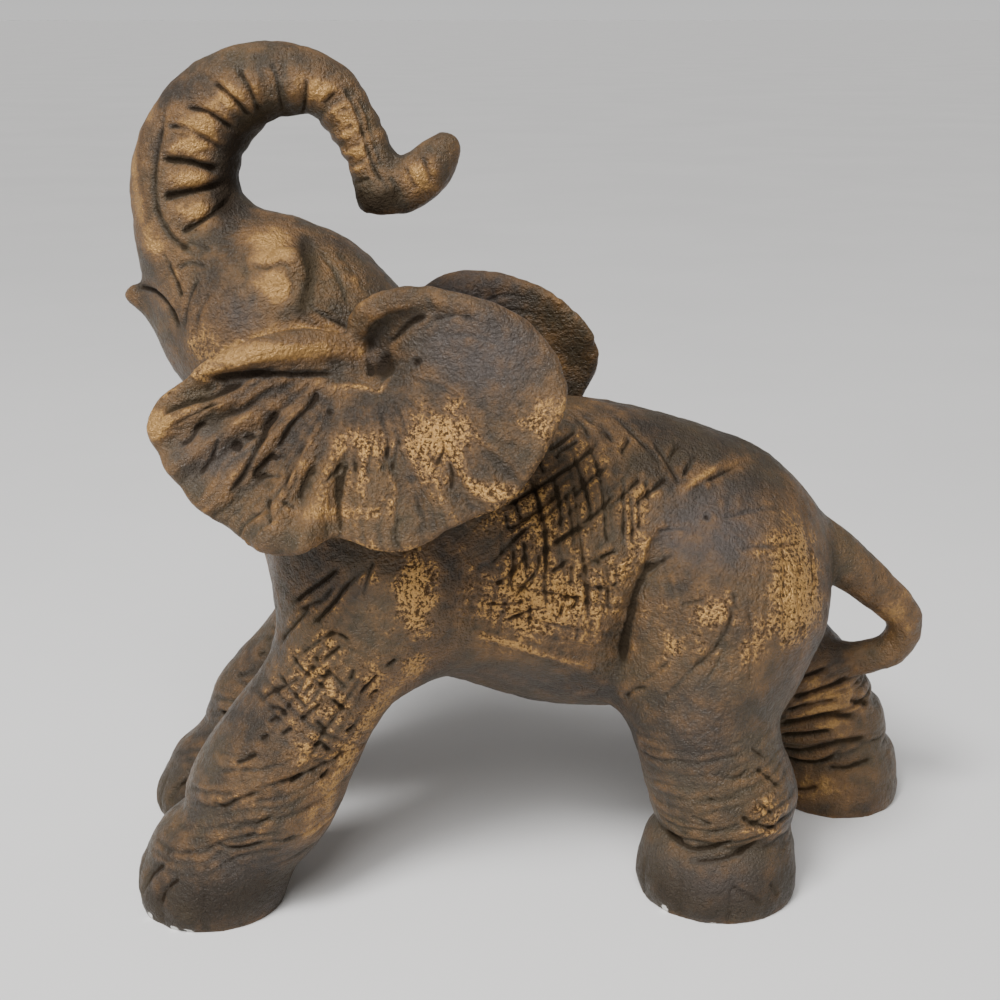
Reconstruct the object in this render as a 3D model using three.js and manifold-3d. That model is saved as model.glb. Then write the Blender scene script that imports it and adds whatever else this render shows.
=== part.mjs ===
// Elephant figurine: a small cast elephant that walks with its head thrown back, trunk curled over the
// forehead, ears spread and tail looped against a hind leg. It is one solid, cast in one piece.
// Frame: millimetres, +Z up, the elephant faces -X, and its left side is towards -Y.
// The origin is the middle of the bounding box at floor level.
import * as THREE from "three";
import { mergeVertices } from "three/addons/utils/BufferGeometryUtils.js";
import Module from "manifold-3d";

// Driving sizes, in millimetres
const HEIGHT = 160; // floor to the top of the trunk's curl
const EAR_THICKNESS = 3.4; // at the middle of an ear
const EAR_RIM_THICKNESS = 2.8; // at its edge
const SAMPLE_STEP = 1.6; // spacing of the samples that the skin is found from
const TRIANGLES = 9600; // after the skin is simplified

// Everything sculpted is set out in hundredths of the height.
const PERCENT = HEIGHT / 100;
const FLOOR = 0;
const BELOW_FLOOR = -3; // the legs are sculpted down to here, then sawn flat at the floor

// Tools of the sculpture: each form is a function that gives the distance to its skin, negative inside

const FAR = 8; // beyond this a form's exact distance doesn't matter
const mix = (a, b, t) => a + (b - a) * t;
const clamp = THREE.MathUtils.clamp;
const smoothstep = THREE.MathUtils.smoothstep;

// The union of two forms with a fillet of about the given width
function blend(a, b, width) {
  const near = Math.max(width - Math.abs(a - b), 0) / width;
  return Math.min(a, b) - near * near * width * 0.25;
}

// An ellipsoid, with an optional turn about the Y axis in degrees, nose down when positive
function ellipsoid([cx, cy, cz], [rx, ry, rz], tilt = 0) {
  const c = Math.cos(THREE.MathUtils.degToRad(tilt));
  const s = Math.sin(THREE.MathUtils.degToRad(tilt));
  return (x, y, z) => {
    const dx = x - cx;
    const dz = z - cz;
    const ax = (c * dx - s * dz) / rx;
    const ay = (y - cy) / ry;
    const az = (s * dx + c * dz) / rz;
    const near = Math.hypot(ax, ay, az);
    const slope = Math.hypot(ax / rx, ay / ry, az / rz);
    return slope > 1e-9 ? (near * (near - 1)) / slope : -Math.min(rx, ry, rz);
  };
}

// A limb through stations of [x, y, z, radius], round in section; carve may add to the radius
function limb(stations, pieces, carve = null) {
  const curve = new THREE.CatmullRomCurve3(
    stations.map(([x, y, z]) => new THREE.Vector3(x, y, z)),
  );
  const radii = new THREE.CatmullRomCurve3(
    stations.map(([, , , r], i) => new THREE.Vector3(i, r, 0)),
  );
  const points = [];
  for (let i = 0; i <= pieces; i++) {
    const p = curve.getPoint(i / pieces);
    points.push([p.x, p.y, p.z, radii.getPoint(i / pieces).y]);
  }
  const box = new THREE.Box3();
  for (const [x, y, z, r] of points) {
    box.expandByPoint(new THREE.Vector3(x - r, y - r, z - r));
    box.expandByPoint(new THREE.Vector3(x + r, y + r, z + r));
  }
  return (x, y, z) => {
    const gx = Math.max(box.min.x - x, x - box.max.x, 0);
    const gy = Math.max(box.min.y - y, y - box.max.y, 0);
    const gz = Math.max(box.min.z - z, z - box.max.z, 0);
    const gap = Math.hypot(gx, gy, gz);
    if (gap > FAR) return gap;
    let best = Infinity;
    let along = 0;
    for (let i = 0; i < pieces; i++) {
      const [ax, ay, az, ar] = points[i];
      const [bx, by, bz, br] = points[i + 1];
      const ux = bx - ax;
      const uy = by - ay;
      const uz = bz - az;
      const t = clamp(
        ((x - ax) * ux + (y - ay) * uy + (z - az) * uz) / (ux * ux + uy * uy + uz * uz),
        0,
        1,
      );
      const d = Math.hypot(x - ax - t * ux, y - ay - t * uy, z - az - t * uz) - mix(ar, br, t);
      if (d < best) {
        best = d;
        along = (i + t) / pieces;
      }
    }
    return carve ? best - carve(x, y, z, along) : best;
  };
}

// Torso and neck
const chest = ellipsoid([-14, 0, 43], [14.5, 16, 18]);
const barrel = ellipsoid([8, 0, 40.5], [26, 17, 18], 4);
const belly = ellipsoid([9, 0, 33.4], [19, 13.5, 13.2], 12);
const rump = ellipsoid([26, 0, 36.3], [15.7, 16, 16.4]);
const neck = limb(
  [
    [-11, 0, 48, 15],
    [-16, 0, 58, 13.5],
    [-21.5, 0, 65, 11.6],
  ],
  6,
);
const shoulders = [-1, 1].map((side) => ellipsoid([-15, side * 10, 41], [11, 7.5, 15], -14));
const hips = [-1, 1].map((side) => ellipsoid([25.8, side * 9, 32.6], [11.4, 8.5, 14.6], 6));

// The head and all that is on it is turned a little to the elephant's right and leans that way
const HEAD_PIVOT = [-14, 0, 58];
const HEAD_TURN = -7;
const HEAD_LEAN = -5;
const intoHead = (() => {
  const [px, py, pz] = HEAD_PIVOT;
  const ct = Math.cos(THREE.MathUtils.degToRad(HEAD_TURN));
  const st = Math.sin(THREE.MathUtils.degToRad(HEAD_TURN));
  const cl = Math.cos(THREE.MathUtils.degToRad(HEAD_LEAN));
  const sl = Math.sin(THREE.MathUtils.degToRad(HEAD_LEAN));
  return (x, y, z) => {
    const dx = ct * (x - px) + st * (y - py);
    const dy = -st * (x - px) + ct * (y - py);
    return [px + dx, py + cl * dy + sl * (z - pz), pz - sl * dy + cl * (z - pz)];
  };
})();

// Head
const skull = ellipsoid([-26.7, 0, 67.4], [12.6, 12, 11.6]);
const brow = ellipsoid([-25.8, 0, 72.6], [6.8, 10, 5.4], 34);
const face = limb(
  [
    [-26, 0, 69, 10.4],
    [-31.8, 0, 73, 8.4],
    [-35.4, 0, 77, 6.7],
  ],
  6,
);
const jaw = limb(
  [
    [-25.6, 0, 61.2, 9],
    [-33.4, 0, 66, 6],
    [-38.6, 0, 69.2, 3.1],
    [-43.5, 0, 71, 1.1],
  ],
  8,
);
const eyes = [-1, 1].map((side) => ellipsoid([-23, side * 9.9, 75.2], [2.4, 1.7, 1.9], -20));

// Trunk: it rises from the face, curls back over the forehead and ends in an upturned lip
const TRUNK_FOLDS = 17;
const TRUNK_FOLD_DEPTH = 0.42;
const CURL_MIDDLE = [-25.2, 85];
const trunkFold = (x, y, z, along) => {
  const ends = smoothstep(along, 0.02, 0.12) * (1 - smoothstep(along, 0.86, 0.96));
  const inner = 1 - smoothstep(Math.hypot(x - CURL_MIDDLE[0], z - CURL_MIDDLE[1]), 11.5, 15);
  return -TRUNK_FOLD_DEPTH * ends * inner * Math.pow(Math.sin(Math.PI * TRUNK_FOLDS * along), 4);
};
const trunk = limb(
  [
    [-35.2, 0, 76, 6.6],
    [-36.7, 0, 84.6, 6.4],
    [-34.3, 0, 90.7, 5.8],
    [-29.6, 0, 94.7, 5],
    [-24.6, 0, 95.8, 4.2],
    [-20.0, 0, 94.6, 3.6],
    [-16.9, 0, 90.8, 3.2],
    [-14.9, 0, 86.8, 3.1],
    [-13.3, 0, 82.9, 3.3],
  ],
  44,
  trunkFold,
);
const trunkLip = limb(
  [
    [-13.2, 0, 82.9, 3],
    [-10.4, 0, 83.9, 3.1],
    [-7.9, 0, 86, 2.9],
    [-6.4, 0, 87.9, 2.2],
  ],
  8,
);

const nostril = ellipsoid([-13.4, 0, 79.4], [2.6, 2.2, 2]);

// Legs: each goes from its joint in the body to its foot; the last two stations are the foot
const nearFrontLeg = limb(
  [
    [-14.2, -9, 40.5, 11],
    [-21.1, -11.4, 27.2, 7.5],
    [-25.4, -11.8, 20.2, 8.3],
    [-28.8, -12, 14, 9.1],
    [-32.3, -12.1, 8.2, 7.9],
    [-35.2, -12.2, 3.4, 9],
    [-36.2, -12.2, BELOW_FLOOR, 7.6],
  ],
  14,
);
const farFrontLeg = limb(
  [
    [-14.6, 9.5, 41, 11.2],
    [-18.6, 11.2, 29.4, 8.6],
    [-24, 11.8, 21, 7.7],
    [-30.4, 12, 14.6, 7.3],
    [-33.2, 12.2, 9.6, 6],
    [-37.3, 12.4, 1.9, 8],
    [-37.5, 12.4, BELOW_FLOOR, 7.4],
  ],
  14,
);
const nearHindLeg = limb(
  [
    [25.4, -9, 34, 12.4],
    [23.7, -12, 23, 8.9],
    [25.4, -13, 16, 8.6],
    [26.7, -13.4, 11.4, 9],
    [26.5, -13.6, 7.6, 7.8],
    [26, -13.8, 3.2, 9.8],
    [26, -13.8, BELOW_FLOOR, 8.4],
  ],
  14,
);
const farHindLeg = limb(
  [
    [28, 8.5, 33, 12.4],
    [35.6, 9.2, 22, 9],
    [42, 9.4, 15, 8.5],
    [45.3, 9.4, 10.6, 8],
    [46.6, 9.4, 6.8, 7.6],
    [47, 9.4, 3.2, 8.6],
    [47, 9.4, BELOW_FLOOR, 7.6],
  ],
  14,
);

// Tail: it hangs from the rump, loops back and its tip lies against the far hind leg
const tail = limb(
  [
    [36.6, 0, 41, 4],
    [42.6, 0.4, 37.5, 3.4],
    [48.3, 1.2, 32.8, 2.7],
    [52.8, 2.2, 28, 2.4],
    [52, 3.4, 23.5, 2.3],
    [47.4, 4.6, 21.6, 2.3],
    [43, 5.6, 21.8, 2.2],
  ],
  20,
);

// Ears: a pleated leaf that stands out from the side of the head, set out round its middle
const EAR_OUTLINE = [
  // degrees round the middle of the leaf, from the rear edge upwards, and the reach there
  [9, 20.6],
  [31, 19.3],
  [55, 16.1],
  [78, 12.9],
  [99, 9.4],
  [110, 7.4],
  [138, 12.8],
  [164, 19],
  [179, 24.9],
  [192, 23.8],
  [213, 20.6],
  [236, 17.3],
  [251, 13.4],
  [281, 14.4],
  [309, 14.2],
  [331, 16.8],
  [352, 18.6],
];
const EAR_MIDDLE = [-11.8, 59.6];
const EAR_ROOT = [-14.1, 67.1];
const EAR_PLEATS = 22;
const EAR_PLEAT_DEPTH = 0.55;
const EAR_STAND_OFF = 12.5;
const NEAR_EAR_FILLET = 2;
const FAR_EAR_FILLET = 3.4; // this one lies closer to the shoulder
const EAR_CUP = [8, 9]; // how far it swings out beyond its root, and over what reach
const EAR_FLARE = 3; // how much further its lower edge stands out
const EAR_CURL = [-7, -19.5, 4, 2.6]; // a bend of the lower edge: its place, reach and rise
const EAR_PLEATED = [5, 16]; // the pleats grow between these distances from the root
const EAR_TURNED = [6, 24]; // and the rear part turns in between these
const EAR_WANDER = [1.9, 1.1]; // how unevenly the pleats are spaced, in radians
const EAR_THINNING = 6; // the leaf thins over this width towards its rim
const EAR_SLANT = 0.86; // the slanting leaf is this much nearer than it is straight across
const EAR_ROLL_FILLET = 0.8;
// No part of an ear is further from its root than its middle and its longest reach together
const EAR_EXTENT =
  Math.hypot(EAR_MIDDLE[0] - EAR_ROOT[0], EAR_MIDDLE[1] - EAR_ROOT[1]) +
  Math.max(...EAR_OUTLINE.map(([, reach]) => reach));

// The leaf's reach in a direction, by a smooth curve through the outline
function earReach(degrees) {
  const count = EAR_OUTLINE.length;
  const next = EAR_OUTLINE.findIndex(([angle]) => angle > degrees);
  const first = next < 0 ? count : next;
  const [p0, p1, p2, p3] = [-2, -1, 0, 1].map((step) => {
    const turns = Math.floor((first + step) / count);
    const [angle, reach] = EAR_OUTLINE[first + step - turns * count];
    return [angle + 360 * turns, reach];
  });
  const span = p2[0] - p1[0];
  const t = (degrees - p1[0]) / span;
  const leave = ((p2[1] - p0[1]) / (p2[0] - p0[0])) * span;
  const arrive = ((p3[1] - p1[1]) / (p3[0] - p1[0])) * span;
  return (
    (2 * t ** 3 - 3 * t ** 2 + 1) * p1[1] +
    (t ** 3 - 2 * t ** 2 + t) * leave +
    (3 * t ** 2 - 2 * t ** 3) * p2[1] +
    (t ** 3 - t ** 2) * arrive
  );
}

const EAR_REACHES = Array.from({ length: 361 }, (_, degrees) => earReach(degrees % 360));

// How far the leaf stands out from the head's middle plane, at a place counted from the ear's root
function earDepth(a, b, rearTurn) {
  const fromRoot = Math.hypot(a, b);
  const bearing = Math.atan2(b, a);
  const pleated = smoothstep(-b - 0.45 * a, 0, 12) * smoothstep(fromRoot, ...EAR_PLEATED);
  const wander = EAR_WANDER[0] * Math.sin(3 * bearing + 1) + EAR_WANDER[1] * Math.sin(7 * bearing);
  const [curlA, curlB, curlReach, curlRise] = EAR_CURL;
  return (
    EAR_STAND_OFF +
    EAR_CUP[0] * (1 - Math.exp(-fromRoot / EAR_CUP[1])) +
    EAR_FLARE * smoothstep(-b, 2, 24) -
    rearTurn * smoothstep(b + 0.4 * a, 0, 16) * smoothstep(fromRoot, ...EAR_TURNED) +
    curlRise * Math.exp(-(((a - curlA) / curlReach) ** 2) - ((b - curlB) / curlReach) ** 2) +
    pleated * EAR_PLEAT_DEPTH * Math.cos(EAR_PLEATS * bearing + wander)
  );
}

// One ear: side is -1 for the near one, back and up move it on the head, and rearTurn is how far its
// upper and rear edge turn in towards the body
function ear(side, [back, up], rearTurn) {
  const half = EAR_THICKNESS / PERCENT / 2;
  const rimHalf = EAR_RIM_THICKNESS / PERCENT / 2;
  const roll = (stations) =>
    limb(
      stations.map(([a, b, r]) => [
        EAR_ROOT[0] + back + a,
        side * (earDepth(a, b, rearTurn) + 0.35 * r),
        EAR_ROOT[1] + up + b,
        r,
      ]),
      10,
    );
  const frontRoll = roll([
    [-1, -1, 1.6],
    [-6, 0.1, 1.7],
    [-11.5, -0.8, 1.5],
    [-17, -2.9, 1],
  ]);
  const topRoll = roll([
    [-0.5, 0.6, 1.4],
    [0.2, 2.9, 1.5],
    [3.8, 5, 1.4],
    [9.6, 5.2, 1.1],
    [16, 2.6, 0.8],
  ]);
  return (x, y, z) => {
    const out = side * y;
    const a = x - back - EAR_ROOT[0];
    const b = z - up - EAR_ROOT[1];
    if (Math.hypot(a, b) > EAR_EXTENT || out < EAR_STAND_OFF / 2 || out > EAR_EXTENT) return FAR;
    const dx = a + EAR_ROOT[0] - EAR_MIDDLE[0];
    const dz = b + EAR_ROOT[1] - EAR_MIDDLE[1];
    const degrees = (THREE.MathUtils.radToDeg(Math.atan2(dz, dx)) + 360) % 360;
    const low = Math.floor(degrees);
    const toRim = mix(EAR_REACHES[low], EAR_REACHES[low + 1], degrees - low) - Math.hypot(dx, dz);
    const thin = mix(rimHalf, half, clamp(toRim / EAR_THINNING, 0, 1));
    const across = Math.abs(out - earDepth(a, b, rearTurn)) * EAR_SLANT;
    const beyond = thin - EAR_SLANT * toRim;
    const leaf = beyond > 0 ? Math.hypot(across, beyond) - thin : across - thin;
    return blend(leaf, Math.min(frontRoll(x, y, z), topRoll(x, y, z)), EAR_ROLL_FILLET);
  };
}

// The far ear lies so close to the shoulder that the casting is filled behind it
const behindFarEar = limb(
  [
    [-15, 11, 63, 6],
    [-9, 14, 55, 6.6],
    [-4, 15, 49, 6],
    [-12, 15.5, 44, 5.6],
  ],
  8,
);

const nearEar = ear(-1, [0, 0], 3);
const farEar = ear(1, [3.7, -0.7], 7);

// The head with its trunk and ears, at a point in the head's own frame
function head(x, y, z) {
  const side = y < 0 ? 0 : 1;
  let form = blend(skull(x, y, z), brow(x, y, z), 3);
  form = blend(form, face(x, y, z), 4);
  form = blend(form, jaw(x, y, z), 2.5);
  form = blend(form, trunk(x, y, z), 2.5);
  form = blend(form, trunkLip(x, y, z), 1.2);
  form = blend(form, eyes[side](x, y, z), 0.8);
  return -blend(-form, nostril(x, y, z), 0.8);
}

// Creases cut into the skin with a wide tool: the side they are on, stations [x, z] seen from that
// side, half width and depth
const CREASES = [
  { sides: [-1, 1], way: [[17.4, 45], [14.9, 40], [13.8, 36], [13.4, 29]], width: 1.5, depth: 0.8 },
  { sides: [-1], way: [[17, 9.2], [22, 8.6], [28, 8.9], [36, 9.6]], width: 1.1, depth: 0.6 },
  { sides: [-1], way: [[26, 14.2], [30.2, 12.4], [36, 10.6]], width: 0.9, depth: 0.5 },
  { sides: [-1], way: [[-42, 12], [-33, 14.6], [-25, 18.6], [-19, 21]], width: 1.1, depth: 0.55 },
  { sides: [1], way: [[34, 15.6], [42, 14.2], [52, 15]], width: 1, depth: 0.55 },
  { sides: [1], way: [[36, 9.2], [43, 8.4], [54, 9]], width: 1, depth: 0.6 },
];
const CREASE_SIDES = [3, 7]; // they fade out between these distances from the middle plane
const CREASE_REACH = 2.5; // in half widths
const creases = CREASES.map(({ sides, way, width, depth }) => {
  const curve = new THREE.SplineCurve(way.map((station) => new THREE.Vector2(...station)));
  const box = new THREE.Box2().setFromPoints(way.map((station) => new THREE.Vector2(...station)));
  return { sides, width, depth, points: curve.getPoints(12), box: box.expandByScalar(CREASE_REACH * width) };
});

// How deep the creases are at a place
function creased(x, y, z) {
  const place = new THREE.Vector2(x, z);
  let deepest = 0;
  for (const { sides, width, depth, points, box } of creases) {
    if (!sides.includes(Math.sign(y)) || !box.containsPoint(place)) continue;
    const near = Math.min(...points.slice(1).map((end, i) => distanceToLine(place, points[i], end)));
    deepest = Math.max(deepest, depth * Math.exp(-((near / width) ** 2)));
  }
  return deepest * smoothstep(Math.abs(y), ...CREASE_SIDES);
}

function distanceToLine(place, start, end) {
  const step = end.clone().sub(start);
  const t = clamp(place.clone().sub(start).dot(step) / step.lengthSq(), 0, 1);
  return place.distanceTo(start.clone().addScaledVector(step, t));
}

// The whole elephant
function elephant(x, y, z) {
  const side = y < 0 ? 0 : 1;
  const inHead = intoHead(x, y, z);
  let form = blend(chest(x, y, z), barrel(x, y, z), 8);
  form = blend(form, belly(x, y, z), 5);
  form = blend(form, rump(x, y, z), 6);
  form = blend(form, neck(x, y, z), 7);
  form = blend(form, shoulders[side](x, y, z), 4);
  form = blend(form, hips[side](x, y, z), 4);
  form = blend(form, head(...inHead), 4);
  form = blend(form, Math.min(nearFrontLeg(x, y, z), farFrontLeg(x, y, z)), 3.5);
  form = blend(form, Math.min(nearHindLeg(x, y, z), farHindLeg(x, y, z)), 3.5);
  form = blend(form, tail(x, y, z), 1.4);
  if (Math.abs(form) < FAR) form += creased(x, y, z);
  form = blend(form, behindFarEar(x, y, z), FAR_EAR_FILLET);
  form = blend(form, nearEar(...inHead), NEAR_EAR_FILLET);
  form = blend(form, farEar(...inHead), FAR_EAR_FILLET);
  return form;
}

const NUDGE = 0.02; // how far to step to feel a form's slope
const CLEAR_OF_ENDS = 0.2; // a skin point stays this share of its edge away from the samples
const LEAST_STEEPNESS = 0.2;
const LONGEST_MOVE = 1 / 3; // of a cell

// The skin of a form as a closed triangle mesh: each cell of a grid of samples is split into six
// tetrahedra, and the points found on their edges are then moved onto the skin
function skinOf(form, low, high, step) {
  const size = [0, 1, 2].map((k) => Math.ceil((high[k] - low[k]) / step) + 1);
  const [nx, ny, nz] = size;
  const values = new Float32Array(nx * ny * nz);
  const index = (i, j, k) => (k * ny + j) * nx + i;
  for (let k = 0; k < nz; k++) {
    for (let j = 0; j < ny; j++) {
      for (let i = 0; i < nx; i++) {
        values[index(i, j, k)] = form(low[0] + i * step, low[1] + j * step, low[2] + k * step);
      }
    }
  }
  const corners = [0, 1, nx, nx + 1, nx * ny, nx * ny + 1, nx * ny + nx, nx * ny + nx + 1];
  const tetrahedra = [
    [0, 1, 3, 7],
    [0, 3, 2, 7],
    [0, 2, 6, 7],
    [0, 6, 4, 7],
    [0, 4, 5, 7],
    [0, 5, 1, 7],
  ];
  const points = [];
  const triangles = [];
  const made = new Map();
  const place = (n) => [n % nx, Math.floor(n / nx) % ny, Math.floor(n / (nx * ny))];
  const crossing = (a, b) => {
    const key = a < b ? a * values.length + b : b * values.length + a;
    if (made.has(key)) return made.get(key);
    const t = clamp(values[a] / (values[a] - values[b]), CLEAR_OF_ENDS, 1 - CLEAR_OF_ENDS);
    const pa = place(a);
    const pb = place(b);
    points.push(...[0, 1, 2].map((m) => low[m] + step * mix(pa[m], pb[m], t)));
    const id = points.length / 3 - 1;
    made.set(key, id);
    return id;
  };
  const split = (nodes) => {
    const inner = nodes.filter((n) => values[n] < 0);
    const outer = nodes.filter((n) => values[n] >= 0);
    if (!inner.length || !outer.length) return;
    const [in0, in1] = inner;
    const [out0, out1] = outer;
    const pairs = [
      [in0, out0],
      [in0, out1],
      [in1, out1],
      [in1, out0],
    ];
    if (inner.length === 1) pairs.splice(2, 2, [in0, outer[2]]);
    if (outer.length === 1) pairs.splice(1, 3, [in1, out0], [inner[2], out0]);
    const towards = new THREE.Vector3();
    for (const n of outer) towards.addScaledVector(new THREE.Vector3(...place(n)), 1 / outer.length);
    for (const n of inner) towards.addScaledVector(new THREE.Vector3(...place(n)), -1 / inner.length);
    const ring = pairs.map(([n, m]) => crossing(n, m));
    addFacing(ring, towards, points, triangles);
  };
  for (let k = 0; k < nz - 1; k++) {
    for (let j = 0; j < ny - 1; j++) {
      for (let i = 0; i < nx - 1; i++) {
        const base = index(i, j, k);
        const inside = corners.filter((c) => values[base + c] < 0).length;
        if (inside === 0 || inside === corners.length) continue;
        for (const tetrahedron of tetrahedra) split(tetrahedron.map((c) => base + corners[c]));
      }
    }
  }
  for (let i = 0; i < points.length; i += 3) {
    const [x, y, z] = points.slice(i, i + 3);
    const d = form(x, y, z);
    const slope = [
      (form(x + NUDGE, y, z) - d) / NUDGE,
      (form(x, y + NUDGE, z) - d) / NUDGE,
      (form(x, y, z + NUDGE) - d) / NUDGE,
    ];
    const steepness = slope[0] ** 2 + slope[1] ** 2 + slope[2] ** 2;
    const most = step * LONGEST_MOVE;
    const move = clamp(d / Math.max(steepness, LEAST_STEEPNESS), -most, most);
    slope.forEach((value, m) => (points[i + m] -= value * move));
  }
  return { points: Float64Array.from(points), triangles: Int32Array.from(triangles) };
}

// Adds a ring of three or four points as triangles whose faces look the given way
function addFacing(ring, towards, points, triangles) {
  const at = (n) => new THREE.Vector3().fromArray(points, 3 * n);
  const a = at(ring[0]);
  const normal = new THREE.Vector3()
    .subVectors(at(ring[1]), a)
    .cross(new THREE.Vector3().subVectors(at(ring[2]), a));
  if (normal.dot(towards) < 0) ring.reverse();
  for (let i = 1; i + 1 < ring.length; i++) triangles.push(ring[0], ring[i], ring[i + 1]);
}

// A heap that gives back the item of the least cost first
function leastFirst() {
  const items = [];
  const swap = (i, j) => ([items[i], items[j]] = [items[j], items[i]]);
  return {
    push(item) {
      items.push(item);
      let i = items.length - 1;
      while (i > 0) {
        const parent = (i - 1) >> 1;
        if (items[parent].cost <= items[i].cost) break;
        swap(i, parent);
        i = parent;
      }
    },
    pop() {
      const least = items[0];
      const last = items.pop();
      if (!items.length) return least;
      items[0] = last;
      let i = 0;
      for (;;) {
        const left = 2 * i + 1;
        const right = left + 1;
        let small = i;
        if (left < items.length && items[left].cost < items[small].cost) small = left;
        if (right < items.length && items[right].cost < items[small].cost) small = right;
        if (small === i) return least;
        swap(i, small);
        i = small;
      }
    },
  };
}

// Simplifies a closed skin to the wanted number of triangles, by shrinking edges to points: the edge
// whose loss moves the skin least goes first, and none goes that would fold or pinch the skin
function simplified({ points, triangles }, wanted) {
  const at = (v) => new THREE.Vector3().fromArray(points, 3 * v);
  const corners = (t) => [triangles[3 * t], triangles[3 * t + 1], triangles[3 * t + 2]];
  const count = points.length / 3;
  const around = Array.from({ length: count }, () => new Set());
  const squares = Array.from({ length: count }, () => new Float64Array(10));
  const age = new Int32Array(count);
  const normalOf = (a, b, c) => new THREE.Vector3().subVectors(b, a).cross(c.clone().sub(a));

  // The sum of squared distances to the planes of a point's triangles, as a quadratic form
  for (let t = 0; t < triangles.length / 3; t++) {
    const [a, b, c] = corners(t).map(at);
    const normal = normalOf(a, b, c);
    const area = normal.length() / 2;
    normal.normalize();
    const plane = [normal.x, normal.y, normal.z, -normal.dot(a)];
    for (const v of corners(t)) {
      around[v].add(t);
      let n = 0;
      for (let i = 0; i < 4; i++) {
        for (let j = i; j < 4; j++) squares[v][n++] += area * plane[i] * plane[j];
      }
    }
  }

  const TINY = 1e-9;
  const PULL = 1e-3; // keeps the new point near the middle of its edge where the skin is flat
  const LENGTH_COST = 1e-4; // makes short edges go before long ones where the skin is flat
  const best = (a, b) => {
    const q = squares[a].map((value, i) => value + squares[b][i]);
    const [xx, xy, xz, xw, yy, yz, yw, zz, zw, ww] = q;
    const middle = at(a).add(at(b)).multiplyScalar(0.5);
    const pull = PULL * (xx + yy + zz) + TINY;
    const matrix = new THREE.Matrix3().set(xx + pull, xy, xz, xy, yy + pull, yz, xz, yz, zz + pull);
    const point = new THREE.Vector3(pull * middle.x - xw, pull * middle.y - yw, pull * middle.z - zw);
    point.applyMatrix3(matrix.invert());
    const { x, y, z } = point;
    const moved =
      x * (xx * x + 2 * xy * y + 2 * xz * z + 2 * xw) +
      y * (yy * y + 2 * yz * z + 2 * yw) +
      z * (zz * z + 2 * zw) +
      ww;
    const length = at(a).distanceToSquared(at(b));
    return { cost: Math.max(moved, 0) + LENGTH_COST * length * length, point };
  };

  const neighbours = (v) => {
    const found = new Set();
    for (const t of around[v]) corners(t).forEach((n) => found.add(n));
    found.delete(v);
    return found;
  };
  const queue = leastFirst();
  const propose = (a, b) => queue.push({ ...best(a, b), a, b, ages: age[a] + age[b] });
  for (let v = 0; v < count; v++) {
    for (const n of neighbours(v)) {
      if (n > v) propose(v, n);
    }
  }

  const roundness = (a, b, c) =>
    normalOf(a, b, c).length() /
    Math.max(a.distanceToSquared(b), b.distanceToSquared(c), c.distanceToSquared(a));
  const SLIVER = 0.05; // roundness below which a triangle's facing isn't trusted
  const LEAST_ROUND = 0.1;
  const MOST_TURN = 0.2; // cosine of the most that a triangle may turn
  const spoils = (v, other, point) => {
    for (const t of around[v]) {
      const ring = corners(t);
      if (ring.includes(other)) continue;
      const before = ring.map(at);
      const after = ring.map((n) => (n === v ? point : at(n)));
      const was = normalOf(...before);
      const is = normalOf(...after);
      const wasShape = roundness(...before);
      if (wasShape > SLIVER && is.dot(was) < MOST_TURN * is.length() * was.length()) return true;
      const shape = roundness(...after);
      if (shape < LEAST_ROUND && shape < wasShape) return true;
    }
    return false;
  };

  let left = triangles.length / 3;
  while (left > wanted) {
    const next = queue.pop();
    if (!next) break;
    const { a, b, ages, point } = next;
    if (!around[a].size || !around[b].size || ages !== age[a] + age[b]) continue;
    const nextToA = neighbours(a);
    const shared = [...neighbours(b)].filter((n) => nextToA.has(n));
    if (!nextToA.has(b) || shared.length !== 2) continue;
    if (spoils(a, b, point) || spoils(b, a, point)) continue;
    for (const t of around[b]) {
      if (corners(t).includes(a)) {
        for (const n of corners(t)) if (n !== b) around[n].delete(t);
        left--;
        continue;
      }
      for (let i = 3 * t; i < 3 * t + 3; i++) if (triangles[i] === b) triangles[i] = a;
      around[a].add(t);
    }
    around[b].clear();
    point.toArray(points, 3 * a);
    squares[b].forEach((value, i) => (squares[a][i] += value));
    age[a]++;
    for (const n of neighbours(a)) propose(a, n);
  }

  const kept = new Set();
  around.forEach((own) => own.forEach((t) => kept.add(t)));
  const renumbered = new Map();
  const newPoints = [];
  const newTriangles = [...kept].flatMap((t) =>
    corners(t).map((v) => {
      if (!renumbered.has(v)) {
        renumbered.set(v, renumbered.size);
        newPoints.push(...at(v).toArray());
      }
      return renumbered.get(v);
    }),
  );
  return { points: newPoints, triangles: newTriangles };
}

const wasm = await Module();
wasm.setup();

const solidOf = (points, triangles) =>
  new wasm.Manifold(
    new wasm.Mesh({
      numProp: 3,
      vertProperties: Float32Array.from(points),
      triVerts: Uint32Array.from(triangles),
    }),
  );

// Saws off what is below the floor, so that the four soles are flat
function sawnAtFloor(solid) {
  const depth = 4 * PERCENT * Math.abs(BELOW_FLOOR);
  const width = 4 * HEIGHT;
  const plank = new THREE.BoxGeometry(width, width, depth).translate(0, 0, FLOOR - depth / 2);
  plank.deleteAttribute("normal");
  plank.deleteAttribute("uv");
  const merged = mergeVertices(plank);
  return solid.subtract(solidOf(merged.attributes.position.array, merged.index.array));
}

// Fills the small pockets that the ears close off behind their roots, by keeping only the outer skin
function filled(solid) {
  const skins = solid.decompose();
  skins.sort((a, b) => b.volume() - a.volume());
  return skins[0];
}

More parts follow.
